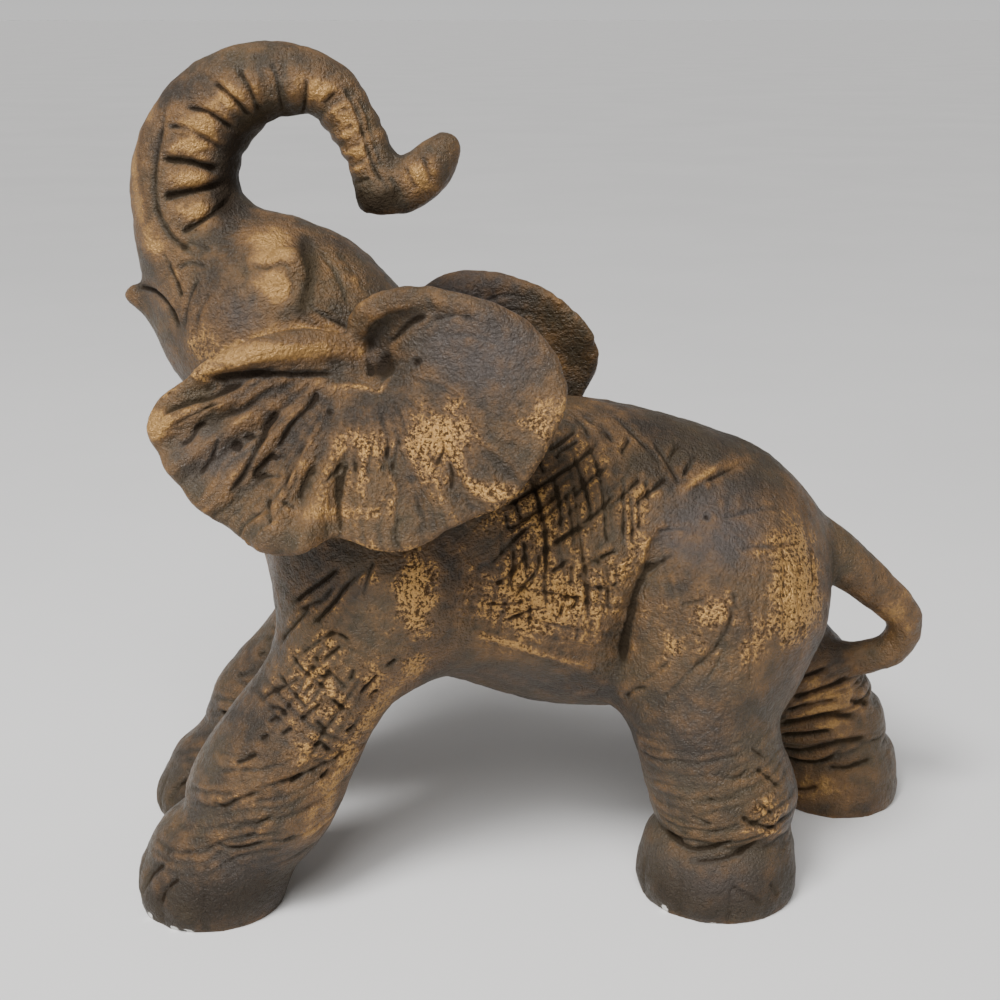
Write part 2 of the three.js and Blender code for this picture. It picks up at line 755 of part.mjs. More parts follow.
const LOW = [-50, -32, -4.2];
const HIGH = [58, 32, 103];
const closedBelow = (x, y, z) => Math.max(elephant(x, y, z), BELOW_FLOOR - z);
const skin = skinOf(closedBelow, LOW, HIGH, SAMPLE_STEP / PERCENT);
const light = simplified(skin, TRIANGLES);
const inMillimetres = light.points.map((value) => value * PERCENT);
const solid = filled(sawnAtFloor(solidOf(inMillimetres, light.triangles))).getMesh();

const geometry = new THREE.BufferGeometry();
geometry.setAttribute("position", new THREE.BufferAttribute(solid.vertProperties, solid.numProp));
geometry.setIndex(new THREE.BufferAttribute(solid.triVerts, 1));
geometry.computeBoundingBox();
const middle = geometry.boundingBox.getCenter(new THREE.Vector3());
geometry.translate(-middle.x, -middle.y, -geometry.boundingBox.min.z);
geometry.computeVertexNormals();

const figurine = new THREE.Mesh(
  geometry,
  new THREE.MeshStandardMaterial({ color: 0x4a3b2c, roughness: 0.45, metalness: 0.35 }),
);
figurine.name = "elephant";

const group = new THREE.Group();
group.add(figurine);

export default group;
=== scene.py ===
"""Elephant figurine: the carved, patinated look of a small cast elephant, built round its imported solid."""

import math

import bmesh
import bpy
import numpy as np
from bpy.props import FloatProperty, FloatVectorProperty, IntProperty, PointerProperty
from bpy.types import Operator, Panel, PropertyGroup
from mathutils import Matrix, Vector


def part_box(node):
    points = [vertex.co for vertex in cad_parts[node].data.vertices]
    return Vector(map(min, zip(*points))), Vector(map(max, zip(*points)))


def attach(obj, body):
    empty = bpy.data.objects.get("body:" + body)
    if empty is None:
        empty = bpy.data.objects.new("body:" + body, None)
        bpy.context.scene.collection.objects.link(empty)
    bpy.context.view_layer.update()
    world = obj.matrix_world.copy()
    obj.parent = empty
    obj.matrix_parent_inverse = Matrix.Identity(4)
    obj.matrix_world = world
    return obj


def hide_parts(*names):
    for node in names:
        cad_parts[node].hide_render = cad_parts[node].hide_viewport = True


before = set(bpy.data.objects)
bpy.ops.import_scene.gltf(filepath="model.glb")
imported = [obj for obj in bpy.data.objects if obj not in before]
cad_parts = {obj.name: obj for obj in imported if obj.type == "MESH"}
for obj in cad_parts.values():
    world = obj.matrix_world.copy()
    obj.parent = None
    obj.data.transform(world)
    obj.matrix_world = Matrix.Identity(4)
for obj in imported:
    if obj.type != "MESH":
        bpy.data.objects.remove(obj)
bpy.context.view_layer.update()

bl_info = {
    "name": "Elephant Figurine",
    "version": (1, 0, 0),
    "blender": (4, 5, 0),
    "location": "View3D > Sidebar > Figurine",
    "description": "Carves and patinates a cast elephant figurine round its packed solid",
    "category": "Add Mesh",
}

NODE = "elephant"
NODE_LOW, NODE_HIGH = (np.array(corner, dtype=float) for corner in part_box(NODE))

# The carving plan: places on the figurine are set out in hundredths of its height, counted from a point
# under the middle of its back, x towards the tail, y towards its right side and z up
PERCENT = (NODE_HIGH[2] - NODE_LOW[2]) / 100
PLAN_SHIFT = np.array([5.076, -0.308, 0.0])

# The head is turned and leans about this place
HEAD_PIVOT = np.array([-14.0, 0.0, 58.0])
HEAD_TURN = math.radians(-7)
HEAD_LEAN = math.radians(-5)

# Where each ear grows from the head, seen from the side
EAR_ROOT = {-1: np.array([-14.1, 67.1]), 1: np.array([-10.4, 66.4])}

# Creases cut with a narrow tool: stations in the side view, half width, depth
TRUNK_CREASES = [
    ([(-37.6, 90.8), (-34.7, 90.3), (-31.1, 87.9)], 0.32, 0.38),
    ([(-38.3, 87.2), (-34.9, 86.8), (-31.8, 85.7)], 0.43, 0.72),
    ([(-38.1, 83.0), (-35.6, 83.5), (-30.8, 84.4)], 0.43, 0.72),
    ([(-36.5, 79.0), (-33.4, 80.7), (-30.3, 82.8)], 0.36, 0.59),
    ([(-35.4, 92.9), (-32.6, 92.2), (-29.8, 90.1)], 0.32, 0.47),
    ([(-32.0, 95.6), (-29.6, 93.5), (-27.9, 91.2)], 0.32, 0.51),
    ([(-29.2, 97.0), (-27.9, 94.6), (-27.0, 91.8)], 0.29, 0.38),
    ([(-25.6, 97.6), (-24.8, 95.7), (-24.5, 91.8)], 0.25, 0.34),
    ([(-21.6, 96.0), (-21.7, 94.0), (-22.5, 91.2)], 0.29, 0.38),
    ([(-19.9, 93.0), (-18.3, 94.4)], 0.29, 0.36),
    ([(-19.1, 91.4), (-17.0, 92.7)], 0.25, 0.31),
    ([(-18.3, 89.7), (-16.4, 90.8)], 0.25, 0.31),
    ([(-17.7, 87.8), (-15.6, 88.8)], 0.25, 0.31),
    ([(-17.2, 85.9), (-15.1, 86.9)], 0.25, 0.31),
    ([(-16.6, 84.1), (-14.7, 84.9)], 0.25, 0.31),
    ([(-18.4, 96.0), (-16.2, 92.9), (-15.2, 89.1), (-14.1, 85.8), (-12.9, 84.3)], 0.29, 0.34),
    ([(-17.0, 95.2), (-15.1, 92.4), (-14.2, 88.9), (-13.2, 85.9)], 0.22, 0.19),
    ([(-10.6, 86.2), (-9.4, 83.6)], 0.25, 0.34),
    ([(-8.6, 87.2), (-7.6, 84.4)], 0.25, 0.34),
    ([(-12.4, 85.2), (-11.2, 82.6)], 0.25, 0.3),
]
TRUNK_RIDGE = [
    (-37.6, 93.4), (-38.0, 90.6), (-38.8, 87.6), (-39.2, 82.6), (-37.9, 79.4), (-35.9, 77.6), (-34.0, 76.4),
]
TRUNK_RIDGE_WIDTH = 0.4
TRUNK_RIDGE_DEPTH = 0.35
# The raised pads between the trunk's creases: middle and reach
TRUNK_PADS = [
    (-33.6, 90.6, 2.2, 1.3), (-30.6, 93.2, 1.5, 1.6), (-34.8, 85.1, 2.6, 0.9), (-34.4, 81.7, 2.4, 0.9),
    (-34.6, 88.6, 2.4, 0.7), (-27.6, 95.0, 1.1, 1.8), (-23.2, 94.6, 1.2, 2.0), (-20.3, 94.4, 1.2, 1.4),
    (-18.5, 91.9, 1.2, 0.7), (-17.6, 89.6, 1.2, 0.7), (-16.9, 87.7, 1.2, 0.7), (-16.2, 85.9, 1.2, 0.7),
    (-9.4, 85.4, 0.8, 1.2), (-7.4, 86.4, 0.8, 1.2),
]
TRUNK_PAD_RISE = 0.3
# The trunk's carving fades in between these heights
TRUNK_FROM = (74.5, 78.0)
HEAD_CREASES = [
    ([(-22.4, 78.0), (-21.5, 76.2), (-21.6, 73.8), (-22.6, 71.6)], 0.5, 0.32),
    ([(-28.2, 76.2), (-26.4, 75.8), (-24.6, 76.4), (-23.6, 75.6)], 0.34, 0.3),
    ([(-29.0, 77.4), (-28.6, 75.4), (-28.9, 73.6)], 0.4, 0.2),
    ([(-24.0, 75.6), (-23.4, 74.2), (-23.6, 72.6)], 0.26, 0.2),
    ([(-20.4, 77.2), (-18.4, 74.6), (-17.4, 71.6)], 0.26, 0.25),
    ([(-18.6, 77.0), (-16.4, 74.6), (-15.6, 73.0)], 0.24, 0.2),
    ([(-22.6, 72.5), (-19.8, 70.8), (-17.1, 69.4)], 0.28, 0.26),
    ([(-23.0, 70.6), (-20.4, 69.6), (-18.4, 69.0)], 0.24, 0.18),
    ([(-43.0, 71.9), (-39.9, 72.0), (-37.9, 70.6), (-36.8, 68.4)], 0.34, 0.5),
    ([(-34.2, 74.4), (-35.5, 71.9), (-36.2, 68.6)], 0.26, 0.26),
    ([(-32.8, 73.0), (-34.2, 70.6), (-34.8, 67.4)], 0.24, 0.18),
    ([(-37.9, 75.8), (-36.9, 73.7), (-36.4, 72.0)], 0.26, 0.32),
    ([(-36.9, 75.0), (-35.2, 76.0), (-33.3, 75.7)], 0.26, 0.28),
    ([(-36.4, 77.4), (-34.6, 78.0), (-32.6, 77.2)], 0.24, 0.2),
    ([(-38.6, 77.0), (-37.4, 75.4)], 0.24, 0.2),
]
# The lumps above and below the eye: middle and reach
EYE_LUMPS = [(-25.8, 78.0, 2.2, 1.5), (-25.2, 74.0, 2.0, 1.3)]
EYE_LUMP_RISE = 0.3
# The head's carving fades in between these heights, and this far in front of the middle of the back
HEAD_FROM = (62.0, 66.0)
HEAD_IN_FRONT = (12.0, 15.0)
# Ears, in the head's own frame, for the near ear: the other one is moved by its root
EAR_CREASES = [
    ([(-30.1, 63.4), (-25.9, 64.2), (-21.3, 64.1), (-16.0, 64.0)], 0.36, 0.51),
    ([(-35.1, 59.9), (-33.2, 60.9), (-29.6, 62.0), (-26.1, 63.4)], 0.29, 0.38),
    ([(-33.9, 58.6), (-32.1, 59.7), (-30.7, 60.5), (-28.6, 61.4)], 0.26, 0.34),
    ([(-33.2, 56.7), (-31.7, 57.6), (-31.1, 58.6), (-30.1, 59.1)], 0.26, 0.34),
    ([(-30.9, 53.6), (-29.6, 55.2), (-28.6, 57.6)], 0.24, 0.26),
    ([(-27.6, 51.5), (-26.1, 53.5), (-25.3, 55.1), (-24.0, 58.3), (-22.6, 60.4)], 0.36, 0.51),
    ([(-22.6, 56.0), (-21.1, 58.8), (-19.1, 61.1), (-18.6, 62.8)], 0.3, 0.42),
    ([(-25.1, 53.5), (-23.8, 54.9), (-22.6, 56.0)], 0.26, 0.34),
    ([(-21.6, 52.1), (-21.2, 53.8), (-20.4, 55.6), (-19.3, 57.5)], 0.26, 0.34),
    ([(-17.6, 52.8), (-16.5, 53.7), (-15.6, 54.9)], 0.24, 0.31),
    ([(-23.4, 51.9), (-23.1, 50.4), (-22.7, 48.8)], 0.24, 0.26),
    ([(-14.3, 54.0), (-14.5, 55.6), (-14.2, 56.9)], 0.23, 0.27),
    ([(-10.8, 56.9), (-10.9, 55.3), (-11.3, 54.1)], 0.22, 0.26),
    ([(-9.7, 57.6), (-10.0, 55.8), (-10.2, 54.0)], 0.22, 0.26),
    ([(-5.1, 58.3), (-4.8, 56.7), (-5.5, 54.8)], 0.22, 0.29),
    ([(-4.2, 55.5), (-3.8, 54.0), (-3.7, 52.4)], 0.22, 0.24),
    ([(-19.9, 51.2), (-19.4, 53.1), (-18.5, 54.9)], 0.22, 0.26),
    ([(-15.7, 51.1), (-15.6, 53.1), (-15.0, 55.0)], 0.22, 0.26),
    ([(-12.7, 53.5), (-12.6, 55.8), (-12.3, 57.3)], 0.22, 0.26),
    ([(-25.1, 53.5), (-23.5, 53.6), (-21.8, 53.7)], 0.22, 0.22),
    ([(-22.4, 51.6), (-21.1, 51.2), (-20.1, 50.3)], 0.22, 0.22),
    ([(-23.1, 55.2), (-21.6, 55.7)], 0.22, 0.2),
    ([(-26.1, 57.5), (-24.2, 57.8)], 0.22, 0.2),
    ([(-11.4, 67.1), (-9.7, 68.6), (-8.3, 69.8), (-6.5, 70.5)], 0.36, 0.38),
    ([(-13.7, 66.4), (-13.1, 63.7)], 0.29, 0.38),
    ([(-7.4, 68.7), (-5.7, 70.1), (-3.1, 70.6), (-0.9, 70.0)], 0.24, 0.19),
    ([(-8.6, 66.8), (-5.6, 68.2), (-2.2, 68.6), (1.2, 67.8)], 0.22, 0.14),
    ([(-8.0, 63.6), (-5.4, 63.0), (-2.8, 61.4)], 0.22, 0.15),
    ([(-6.6, 60.2), (-5.6, 58.6)], 0.22, 0.14),
]
EAR_RIDGES = [
    ([(-27.2, 60.6), (-25.4, 61.8), (-23.3, 63.0), (-21.3, 63.7)], 0.36, 0.26),
    ([(-18.0, 62.5), (-15.2, 62.7), (-13.4, 62.4), (-11.9, 62.1), (-11.1, 63.4), (-9.7, 64.5)], 0.26, 0.29),
    ([(-14.6, 66.6), (-13.4, 69.2), (-11.0, 71.0), (-7.6, 71.8)], 0.36, 0.21),
]
# Pits: middle, reach and depth
EAR_PITS = [
    (-26.9, 56.6, 0.5, 0.5), (-17.1, 60.1, 0.4, 0.3), (-7.9, 65.5, 0.5, 0.5), (-12.0, 65.0, 1.5, 0.9),
]
# An ear begins this far from the head's middle plane at its lower edge, and nearer by this much higher up
EAR_BEGINS = 20.4
EAR_BEGINS_NEARER = 5.4
EAR_NEARER_BETWEEN = (48.0, 57.0)
EAR_BLEND = 1.0
EAR_LOWER_EDGE = (42.5, 45.0)
# Pleats that fan from the root: how closely they fan, then spacing, half width, depth and seed of each set
EAR_FAN = 16.0
EAR_PLEATS = [(1.7, 0.36, 0.22, 11), (0.7, 0.2, 0.12, 17)]
EAR_PLEATS_SLANT = 0.35
EAR_PLEATS_BELOW = (-1.0, 7.0)
EAR_PLEATS_FROM = (3.5, 9.0)
# Rings on the upper lobe: spacing, half width, depth and seed
EAR_RINGS = (2.4, 0.4, 0.1, 23)
EAR_RINGS_SLANT = 0.5
EAR_RINGS_ABOVE = (0.0, 5.0)
EAR_RINGS_FROM = (4.0, 7.0)
EAR_RINGS_WANDER = 8.0
EAR_RINGS_STRETCH = 1.8

# Flank: cuts that rise towards the tail, cuts that run down, cuts over the back, brick-like skin below
RISING_CUTS = [
    [(-0.9, 49.2), (3.0, 51.2), (8.2, 53.8), (11.4, 55.7)],
    [(-0.1, 46.8), (3.6, 49.1), (6.5, 51.2)],
    [(-1.9, 43.2), (-0.2, 44.9), (2.6, 47.6)],
    [(4.9, 55.0), (6.6, 55.6), (8.9, 56.7)],
    [(5.9, 54.1), (6.6, 54.9), (8.9, 55.9)],
    [(11.3, 48.8), (14.3, 50.9), (15.7, 51.9)],
    [(14.6, 49.3), (17.0, 50.6), (19.1, 51.7)],
    [(13.5, 54.2), (15.0, 55.6)],
    [(7.6, 50.4), (9.4, 51.9), (12.0, 53.4)],
    [(8.2, 47.4), (10.4, 48.8), (12.6, 50.6)],
    [(0.5, 38.6), (1.6, 40.2), (3.3, 42.6), (3.6, 44.5)],
    [(-0.3, 36.0), (1.1, 36.7), (2.9, 37.7)],
    [(4.8, 42.2), (5.7, 42.8), (7.0, 43.8)],
    [(-1.4, 40.6), (0.6, 42.4), (2.2, 44.4)],
    [(5.0, 45.4), (7.4, 46.8), (9.6, 47.6)],
]
STEEP_CUTS = [
    [(2.4, 53.2), (3.2, 51.5), (4.1, 48.2), (4.4, 46.4), (4.2, 43.7), (4.2, 40.2), (4.4, 37.1)],
    [(0.9, 50.4), (1.6, 48.1)],
    [(-0.1, 48.9), (0.1, 47.1)],
    [(7.7, 55.5), (8.2, 54.0), (8.6, 52.7), (9.2, 50.7), (9.8, 48.4)],
    [(9.5, 56.4), (10.6, 53.7), (10.9, 51.8), (11.2, 49.6), (11.2, 46.5), (11.6, 45.3)],
    [(6.5, 51.1), (7.1, 49.7), (7.4, 47.0), (7.6, 44.8)],
    [(3.8, 54.6), (4.4, 52.8)],
    [(1.8, 46.0), (2.0, 43.9), (2.3, 42.0)],
    [(11.5, 57.2), (12.1, 56.4), (12.9, 55.2)],
    [(13.6, 52.2), (13.3, 45.6)],
    [(14.2, 50.8), (14.4, 47.8), (14.3, 44.8)],
    [(15.2, 49.8), (15.2, 46.3)],
    [(16.2, 51.7), (16.5, 49.5)],
    [(5.4, 52.8), (6.0, 49.8), (6.0, 46.6)],
    [(0.6, 45.4), (0.6, 42.8), (0.2, 40.4)],
]
BACK_CUTS = [
    [(7.2, 58.6), (8.6, 57.7), (9.6, 56.9), (10.2, 55.7)],
    [(9.5, 57.8), (11.1, 56.9), (11.8, 56.1)],
    [(11.0, 58.1), (13.1, 57.6), (15.5, 55.8), (18.8, 52.6)],
    [(17.8, 54.9), (19.0, 53.3), (20.4, 50.6)],
    [(20.7, 51.5), (21.9, 52.6), (22.8, 53.3)],
    [(19.4, 52.9), (19.9, 53.7), (21.5, 54.4)],
    [(14.6, 58.2), (17.6, 57.0), (20.2, 55.2)],
    [(17.0, 58.8), (20.8, 57.6), (23.6, 55.8)],
    [(22.6, 57.4), (25.0, 56.6), (27.2, 55.2)],
]
BRICK_CUTS = [
    [(8.4, 42.3), (9.5, 43.3), (11.3, 44.1), (13.1, 44.6)],
    [(7.9, 42.0), (8.8, 40.5), (9.2, 36.4)],
    [(10.1, 44.4), (10.5, 42.4)],
    [(5.7, 41.4), (6.2, 38.6), (5.8, 36.4)],
    [(6.5, 37.3), (8.4, 38.7)],
    [(2.2, 40.2), (2.6, 37.8), (2.4, 35.8)],
    [(-2.6, 38.4), (0.0, 38.2), (2.4, 38.8)],
    [(9.6, 40.4), (11.4, 40.2), (13.0, 40.8)],
    [(11.2, 43.2), (11.6, 40.6), (11.4, 37.6)],
    [(4.4, 38.4), (6.0, 39.0), (8.6, 39.2)],
    [(14.1, 25.2), (14.8, 27.0), (16.2, 28.1)],
]
# Half width and depth of each group of cuts
BODY_CUTS = [
    (RISING_CUTS, 0.25, 0.42), (STEEP_CUTS, 0.24, 0.38), (BACK_CUTS, 0.26, 0.34), (BRICK_CUTS, 0.22, 0.3),
]
HIP_CREASES = [
    ([(15.8, 41.7), (17.3, 42.9), (19.1, 44.1)], 0.36, 0.34),
    ([(16.6, 43.4), (14.9, 39.8), (14.4, 37.5), (13.9, 34.9), (13.6, 32.2), (13.7, 29.3)], 0.4, 0.47),
    ([(22.9, 50.8), (25.4, 51.4), (28.3, 51.9), (30.1, 51.7)], 0.26, 0.31),
    ([(17.1, 46.2), (19.4, 46.5), (20.7, 46.4)], 0.22, 0.21),
    ([(24.5, 47.5), (26.7, 47.7), (28.9, 47.9), (33.4, 47.3)], 0.26, 0.26),
    ([(26.4, 44.5), (28.2, 44.7), (30.3, 44.4), (35.0, 44.1)], 0.26, 0.24),
    ([(36.2, 43.2), (36.2, 41.3), (35.8, 39.2), (35.0, 37.4)], 0.26, 0.26),
    ([(19.3, 38.9), (21.2, 39.4), (22.5, 39.9)], 0.22, 0.21),
    ([(25.3, 40.6), (25.5, 38.6)], 0.29, 0.26),
    ([(34.0, 42.3), (33.3, 38.6), (34.0, 33.7)], 0.24, 0.21),
    ([(31.7, 41.5), (31.2, 38.0), (31.6, 34.6)], 0.24, 0.19),
    ([(24.5, 39.7), (24.9, 37.6), (23.2, 33.9), (20.6, 31.3)], 0.32, 0.27),
    ([(21.7, 29.0), (23.8, 32.7), (24.6, 35.1)], 0.25, 0.19),
    ([(27.1, 38.5), (27.5, 33.8), (27.2, 28.9)], 0.24, 0.17),
    ([(28.9, 39.4), (29.3, 34.8)], 0.22, 0.15),
    ([(17.5, 26.9), (21.6, 32.5)], 0.22, 0.19),
    ([(15.4, 28.4), (19.0, 32.8)], 0.22, 0.17),
]
BODY_RIDGES = [
    ([(20.6, 50.2), (22.4, 51.0), (24.0, 51.6), (26.7, 52.5)], 0.32, 0.34),
    ([(-3.5, 34.4), (-0.8, 33.4), (4.2, 31.8), (10.0, 29.6)], 0.5, 0.3),
    ([(-1.2, 43.9), (0.6, 45.8), (3.6, 48.4)], 0.26, 0.17),
    ([(15.0, 42.4), (15.9, 45.2), (18.2, 47.4)], 0.58, 0.21),
]
# Small lumps and one pit: middle, reach and rise
KNOBS = [
    (24.9, 48.6, 0.5, 0.35), (27.1, 48.7, 0.45, 0.3), (18.8, 41.3, 0.5, 0.3), (23.6, 50.5, 0.45, 0.3),
    (23.1, 47.6, 0.9, 0.3), (23.1, 47.6, 0.4, -0.6), (34.1, 41.3, 0.4, 0.25), (36.5, 39.2, 0.4, 0.2),
]
# Hatched areas of the body: how the cuts follow each other along x and z, whether they run along x (0)
# or z (1), spacing, half width, depth, middle and reach of the area, and seed
BODY_HATCHES = [
    ((1.0, 0.13), 1, 1.3, 0.24, 0.34, (7.5, 45.0, 9.5, 10.0), 43),
    ((-0.76 / 1.26, 1.0 / 1.26), 0, 1.5, 0.24, 0.34, (5.5, 49.0, 9.5, 8.0), 47),
    ((0.25, 1.0), 0, 1.7, 0.24, 0.32, (4.5, 38.0, 11.0, 6.0), 53),
    ((1.0, -0.2), 1, 1.5, 0.22, 0.32, (4.5, 38.0, 11.0, 6.0), 59),
    ((1.0, 0.0), 1, 1.7, 0.3, 0.2, (34.0, 40.0, 5.0, 7.0), 67),
]
# The body's carving fades in between these places
BODY_BEHIND = (-9.0, -5.0)
NEAR_FRONT_LEG_CREASES = [
    ([(-24.3, 38.9), (-22.8, 40.6), (-21.1, 42.1), (-18.7, 44.4)], 0.3, 0.47),
    ([(-24.3, 37.9), (-22.5, 39.2), (-20.8, 40.3), (-19.5, 42.2)], 0.24, 0.34),
    ([(-22.9, 36.3), (-21.3, 38.1), (-19.6, 40.0), (-18.4, 41.8), (-15.5, 44.8)], 0.27, 0.42),
    ([(-26.7, 32.8), (-24.9, 35.7), (-22.5, 39.0)], 0.26, 0.34),
    ([(-16.3, 41.1), (-15.5, 44.2), (-15.0, 44.9)], 0.23, 0.3),
    ([(-43.6, 2.7), (-42.3, 5.6), (-40.3, 7.9)], 0.29, 0.42),
    ([(-41.0, 3.0), (-40.2, 5.0), (-38.4, 6.8)], 0.29, 0.38),
    ([(-34.2, 16.0), (-33.0, 15.7), (-31.3, 16.7), (-28.3, 18.0)], 0.29, 0.38),
    ([(-32.4, 13.0), (-30.6, 13.8), (-28.9, 14.1), (-26.9, 15.3)], 0.26, 0.31),
    ([(-30.7, 12.3), (-29.2, 12.9)], 0.22, 0.21),
    ([(-34.2, 10.9), (-31.2, 10.8), (-28.3, 11.6)], 0.26, 0.26),
    ([(-26.3, 11.3), (-24.8, 11.9)], 0.22, 0.21),
]
FORELEG_CUTS = [
    [(-25.0, 33.1), (-23.8, 31.8), (-21.8, 30.3), (-20.5, 29.2)],
    [(-23.8, 33.0), (-22.2, 34.6), (-19.7, 36.4), (-17.5, 35.0)],
    [(-22.4, 33.6), (-21.1, 32.0), (-19.9, 31.1), (-18.6, 29.5)],
    [(-21.4, 32.7), (-20.1, 33.9), (-19.0, 35.0)],
    [(-22.7, 31.5), (-20.7, 33.1)],
    [(-28.7, 27.3), (-26.9, 28.7), (-25.1, 29.8), (-23.6, 30.8)],
    [(-23.7, 28.6), (-22.2, 30.2)],
    [(-22.5, 30.7), (-20.4, 31.2), (-19.1, 30.3), (-18.5, 29.3)],
    [(-17.1, 28.4), (-15.8, 30.0), (-14.8, 31.1)],
    [(-16.0, 28.0), (-14.9, 28.8)],
    [(-18.0, 30.5), (-17.6, 32.1)],
    [(-14.0, 32.0), (-12.8, 32.8)],
    [(-27.5, 27.0), (-26.3, 27.0), (-25.4, 26.2)],
    [(-22.1, 25.9), (-20.9, 24.5)],
    [(-22.5, 22.6), (-21.4, 23.0), (-20.5, 21.3)],
    [(-18.7, 23.8), (-17.6, 24.4)],
    [(-21.7, 18.4), (-20.7, 19.4)],
    [(-24.0, 19.5), (-25.2, 18.4)],
    [(-28.6, 23.6), (-27.7, 24.2)],
    [(-31.6, 20.7), (-30.4, 21.2), (-28.9, 22.1)],
    [(-23.9, 25.8), (-22.7, 26.9), (-21.3, 27.9)],
    [(-26.2, 24.3), (-24.8, 25.1)],
    [(-27.6, 25.5), (-26.6, 26.2)],
    [(-26.6, 30.6), (-24.6, 28.8), (-23.0, 27.2)],
    [(-20.2, 28.4), (-18.6, 26.6)],
]
FORELEG_CUT_WIDTH = 0.24
NEAR_FORELEG_CUT_DEPTH = 0.36
FAR_FORELEG_CUT_DEPTH = 0.3
# The far foreleg stands this far in front of the near one and below it, and the forelegs end here
FAR_FORELEG_SHIFT = np.array([2.0, 0.4])
FORELEGS_END = -8.0
# The hatched skin over the forelegs, as for the body
FORELEG_HATCHES = [
    ((0.6, 0.8), 0, 1.7, 0.28, 0.38, (-21.5, 29.5, 6.5, 9.0), 73),
    ((0.85, -0.5), 1, 1.6, 0.28, 0.38, (-21.5, 29.5, 6.5, 9.0), 79),
]
NEAR_HIND_LEG_CREASES = [
    ([(18.6, 9.2), (20.2, 8.8), (22.0, 8.6), (24.6, 9.5), (26.3, 10.6)], 0.32, 0.42),
    ([(21.0, 7.2), (23.0, 7.7), (25.3, 8.1), (27.0, 8.6), (29.4, 9.7)], 0.29, 0.38),
    ([(26.8, 13.4), (28.2, 12.6), (30.3, 11.6), (31.9, 10.9)], 0.29, 0.42),
    ([(28.6, 15.2), (29.9, 14.1), (31.1, 12.6)], 0.24, 0.34),
    ([(21.1, 12.8), (22.6, 12.6), (23.5, 12.2)], 0.24, 0.3),
    ([(28.2, 21.3), (30.3, 19.4)], 0.24, 0.3),
    ([(28.9, 18.8), (30.5, 17.3), (32.2, 15.6)], 0.24, 0.31),
    ([(25.9, 5.1), (27.8, 3.8), (29.9, 2.2)], 0.26, 0.3),
    ([(30.7, 4.7), (31.9, 2.5)], 0.24, 0.26),
    ([(19.8, 10.5), (20.9, 10.0)], 0.22, 0.21),
    ([(24.3, 18.5), (26.2, 18.1), (27.9, 19.0)], 0.24, 0.26),
    ([(22.6, 15.8), (24.4, 15.2), (26.4, 16.0)], 0.22, 0.19),
]
FAR_HIND_LEG_CREASES = [
    ([(36.8, 8.2), (40.8, 9.3), (43.9, 10.7), (46.5, 11.2), (49.9, 10.8)], 0.6, 0.6),
    ([(38.4, 6.8), (42.0, 7.6), (44.1, 8.7), (45.5, 10.0)], 0.4, 0.4),
    ([(43.7, 7.3), (46.8, 7.4), (50.2, 8.2)], 0.4, 0.35),
    ([(38.4, 3.0), (40.8, 3.2), (43.0, 4.6)], 0.4, 0.35),
    ([(36.8, 13.6), (39.6, 14.4), (43.5, 15.1), (47.9, 14.3)], 0.55, 0.6),
    ([(37.4, 11.6), (40.6, 12.3), (44.3, 13.0)], 0.45, 0.5),
    ([(46.4, 16.7), (49.8, 15.4)], 0.4, 0.4),
    ([(37.6, 18.0), (42.6, 18.8), (46.4, 19.6)], 0.5, 0.5),
    ([(37.0, 16.0), (41.4, 17.0), (44.6, 17.2)], 0.4, 0.4),
    ([(38.4, 20.6), (43.2, 21.4)], 0.4, 0.35),
]
FAR_HIND_LEG_FROM = (35.5, 37.0)
FAR_HIND_LEG_TOP = 24.0
# A leg's own creases begin this far from the middle plane
LEG_FROM_MIDDLE = (1.0, 4.0)
# Wrinkles round the lower legs: slope, how much they bend, spacing, half width, depth, seed, and the
# heights between which they fade out above and in below
WRINKLE_SLOPE = 0.25
WRINKLE_BEND = 2.0
WRINKLES = (1.4, 0.26, 0.26, 83)
WRINKLES_FADE_OUT = (-26.0, -18.0)
WRINKLES_FADE_IN = (6.0, 9.0)

# Feet: middle of each sole, radius, and the side it is on
FEET = [(-35.5, -12.2, 8.6, -1), (-37.5, 12.4, 7.9, 1), (26.0, -13.8, 9.4, -1), (47.0, 9.4, 8.2, 1)]
TOES = 4
TOE_SPREAD = math.radians(38)
# The toes sit this share of a toe's width to the outer side
TOE_SHIFT = 0.35
TOES_BELOW = 7.5
TOES_FADE = 3.0
FOOT_EDGE = 3.0
FOOT_FADE = 1.5
NAIL_WIDTH = 1.7
NAIL_HEIGHT = 2.0
NAIL_LENGTH = 1.9
NAIL_RISE = 0.3
TOE_GAP_WIDTH = 0.5
TOE_GAP_DEPTH = 0.25

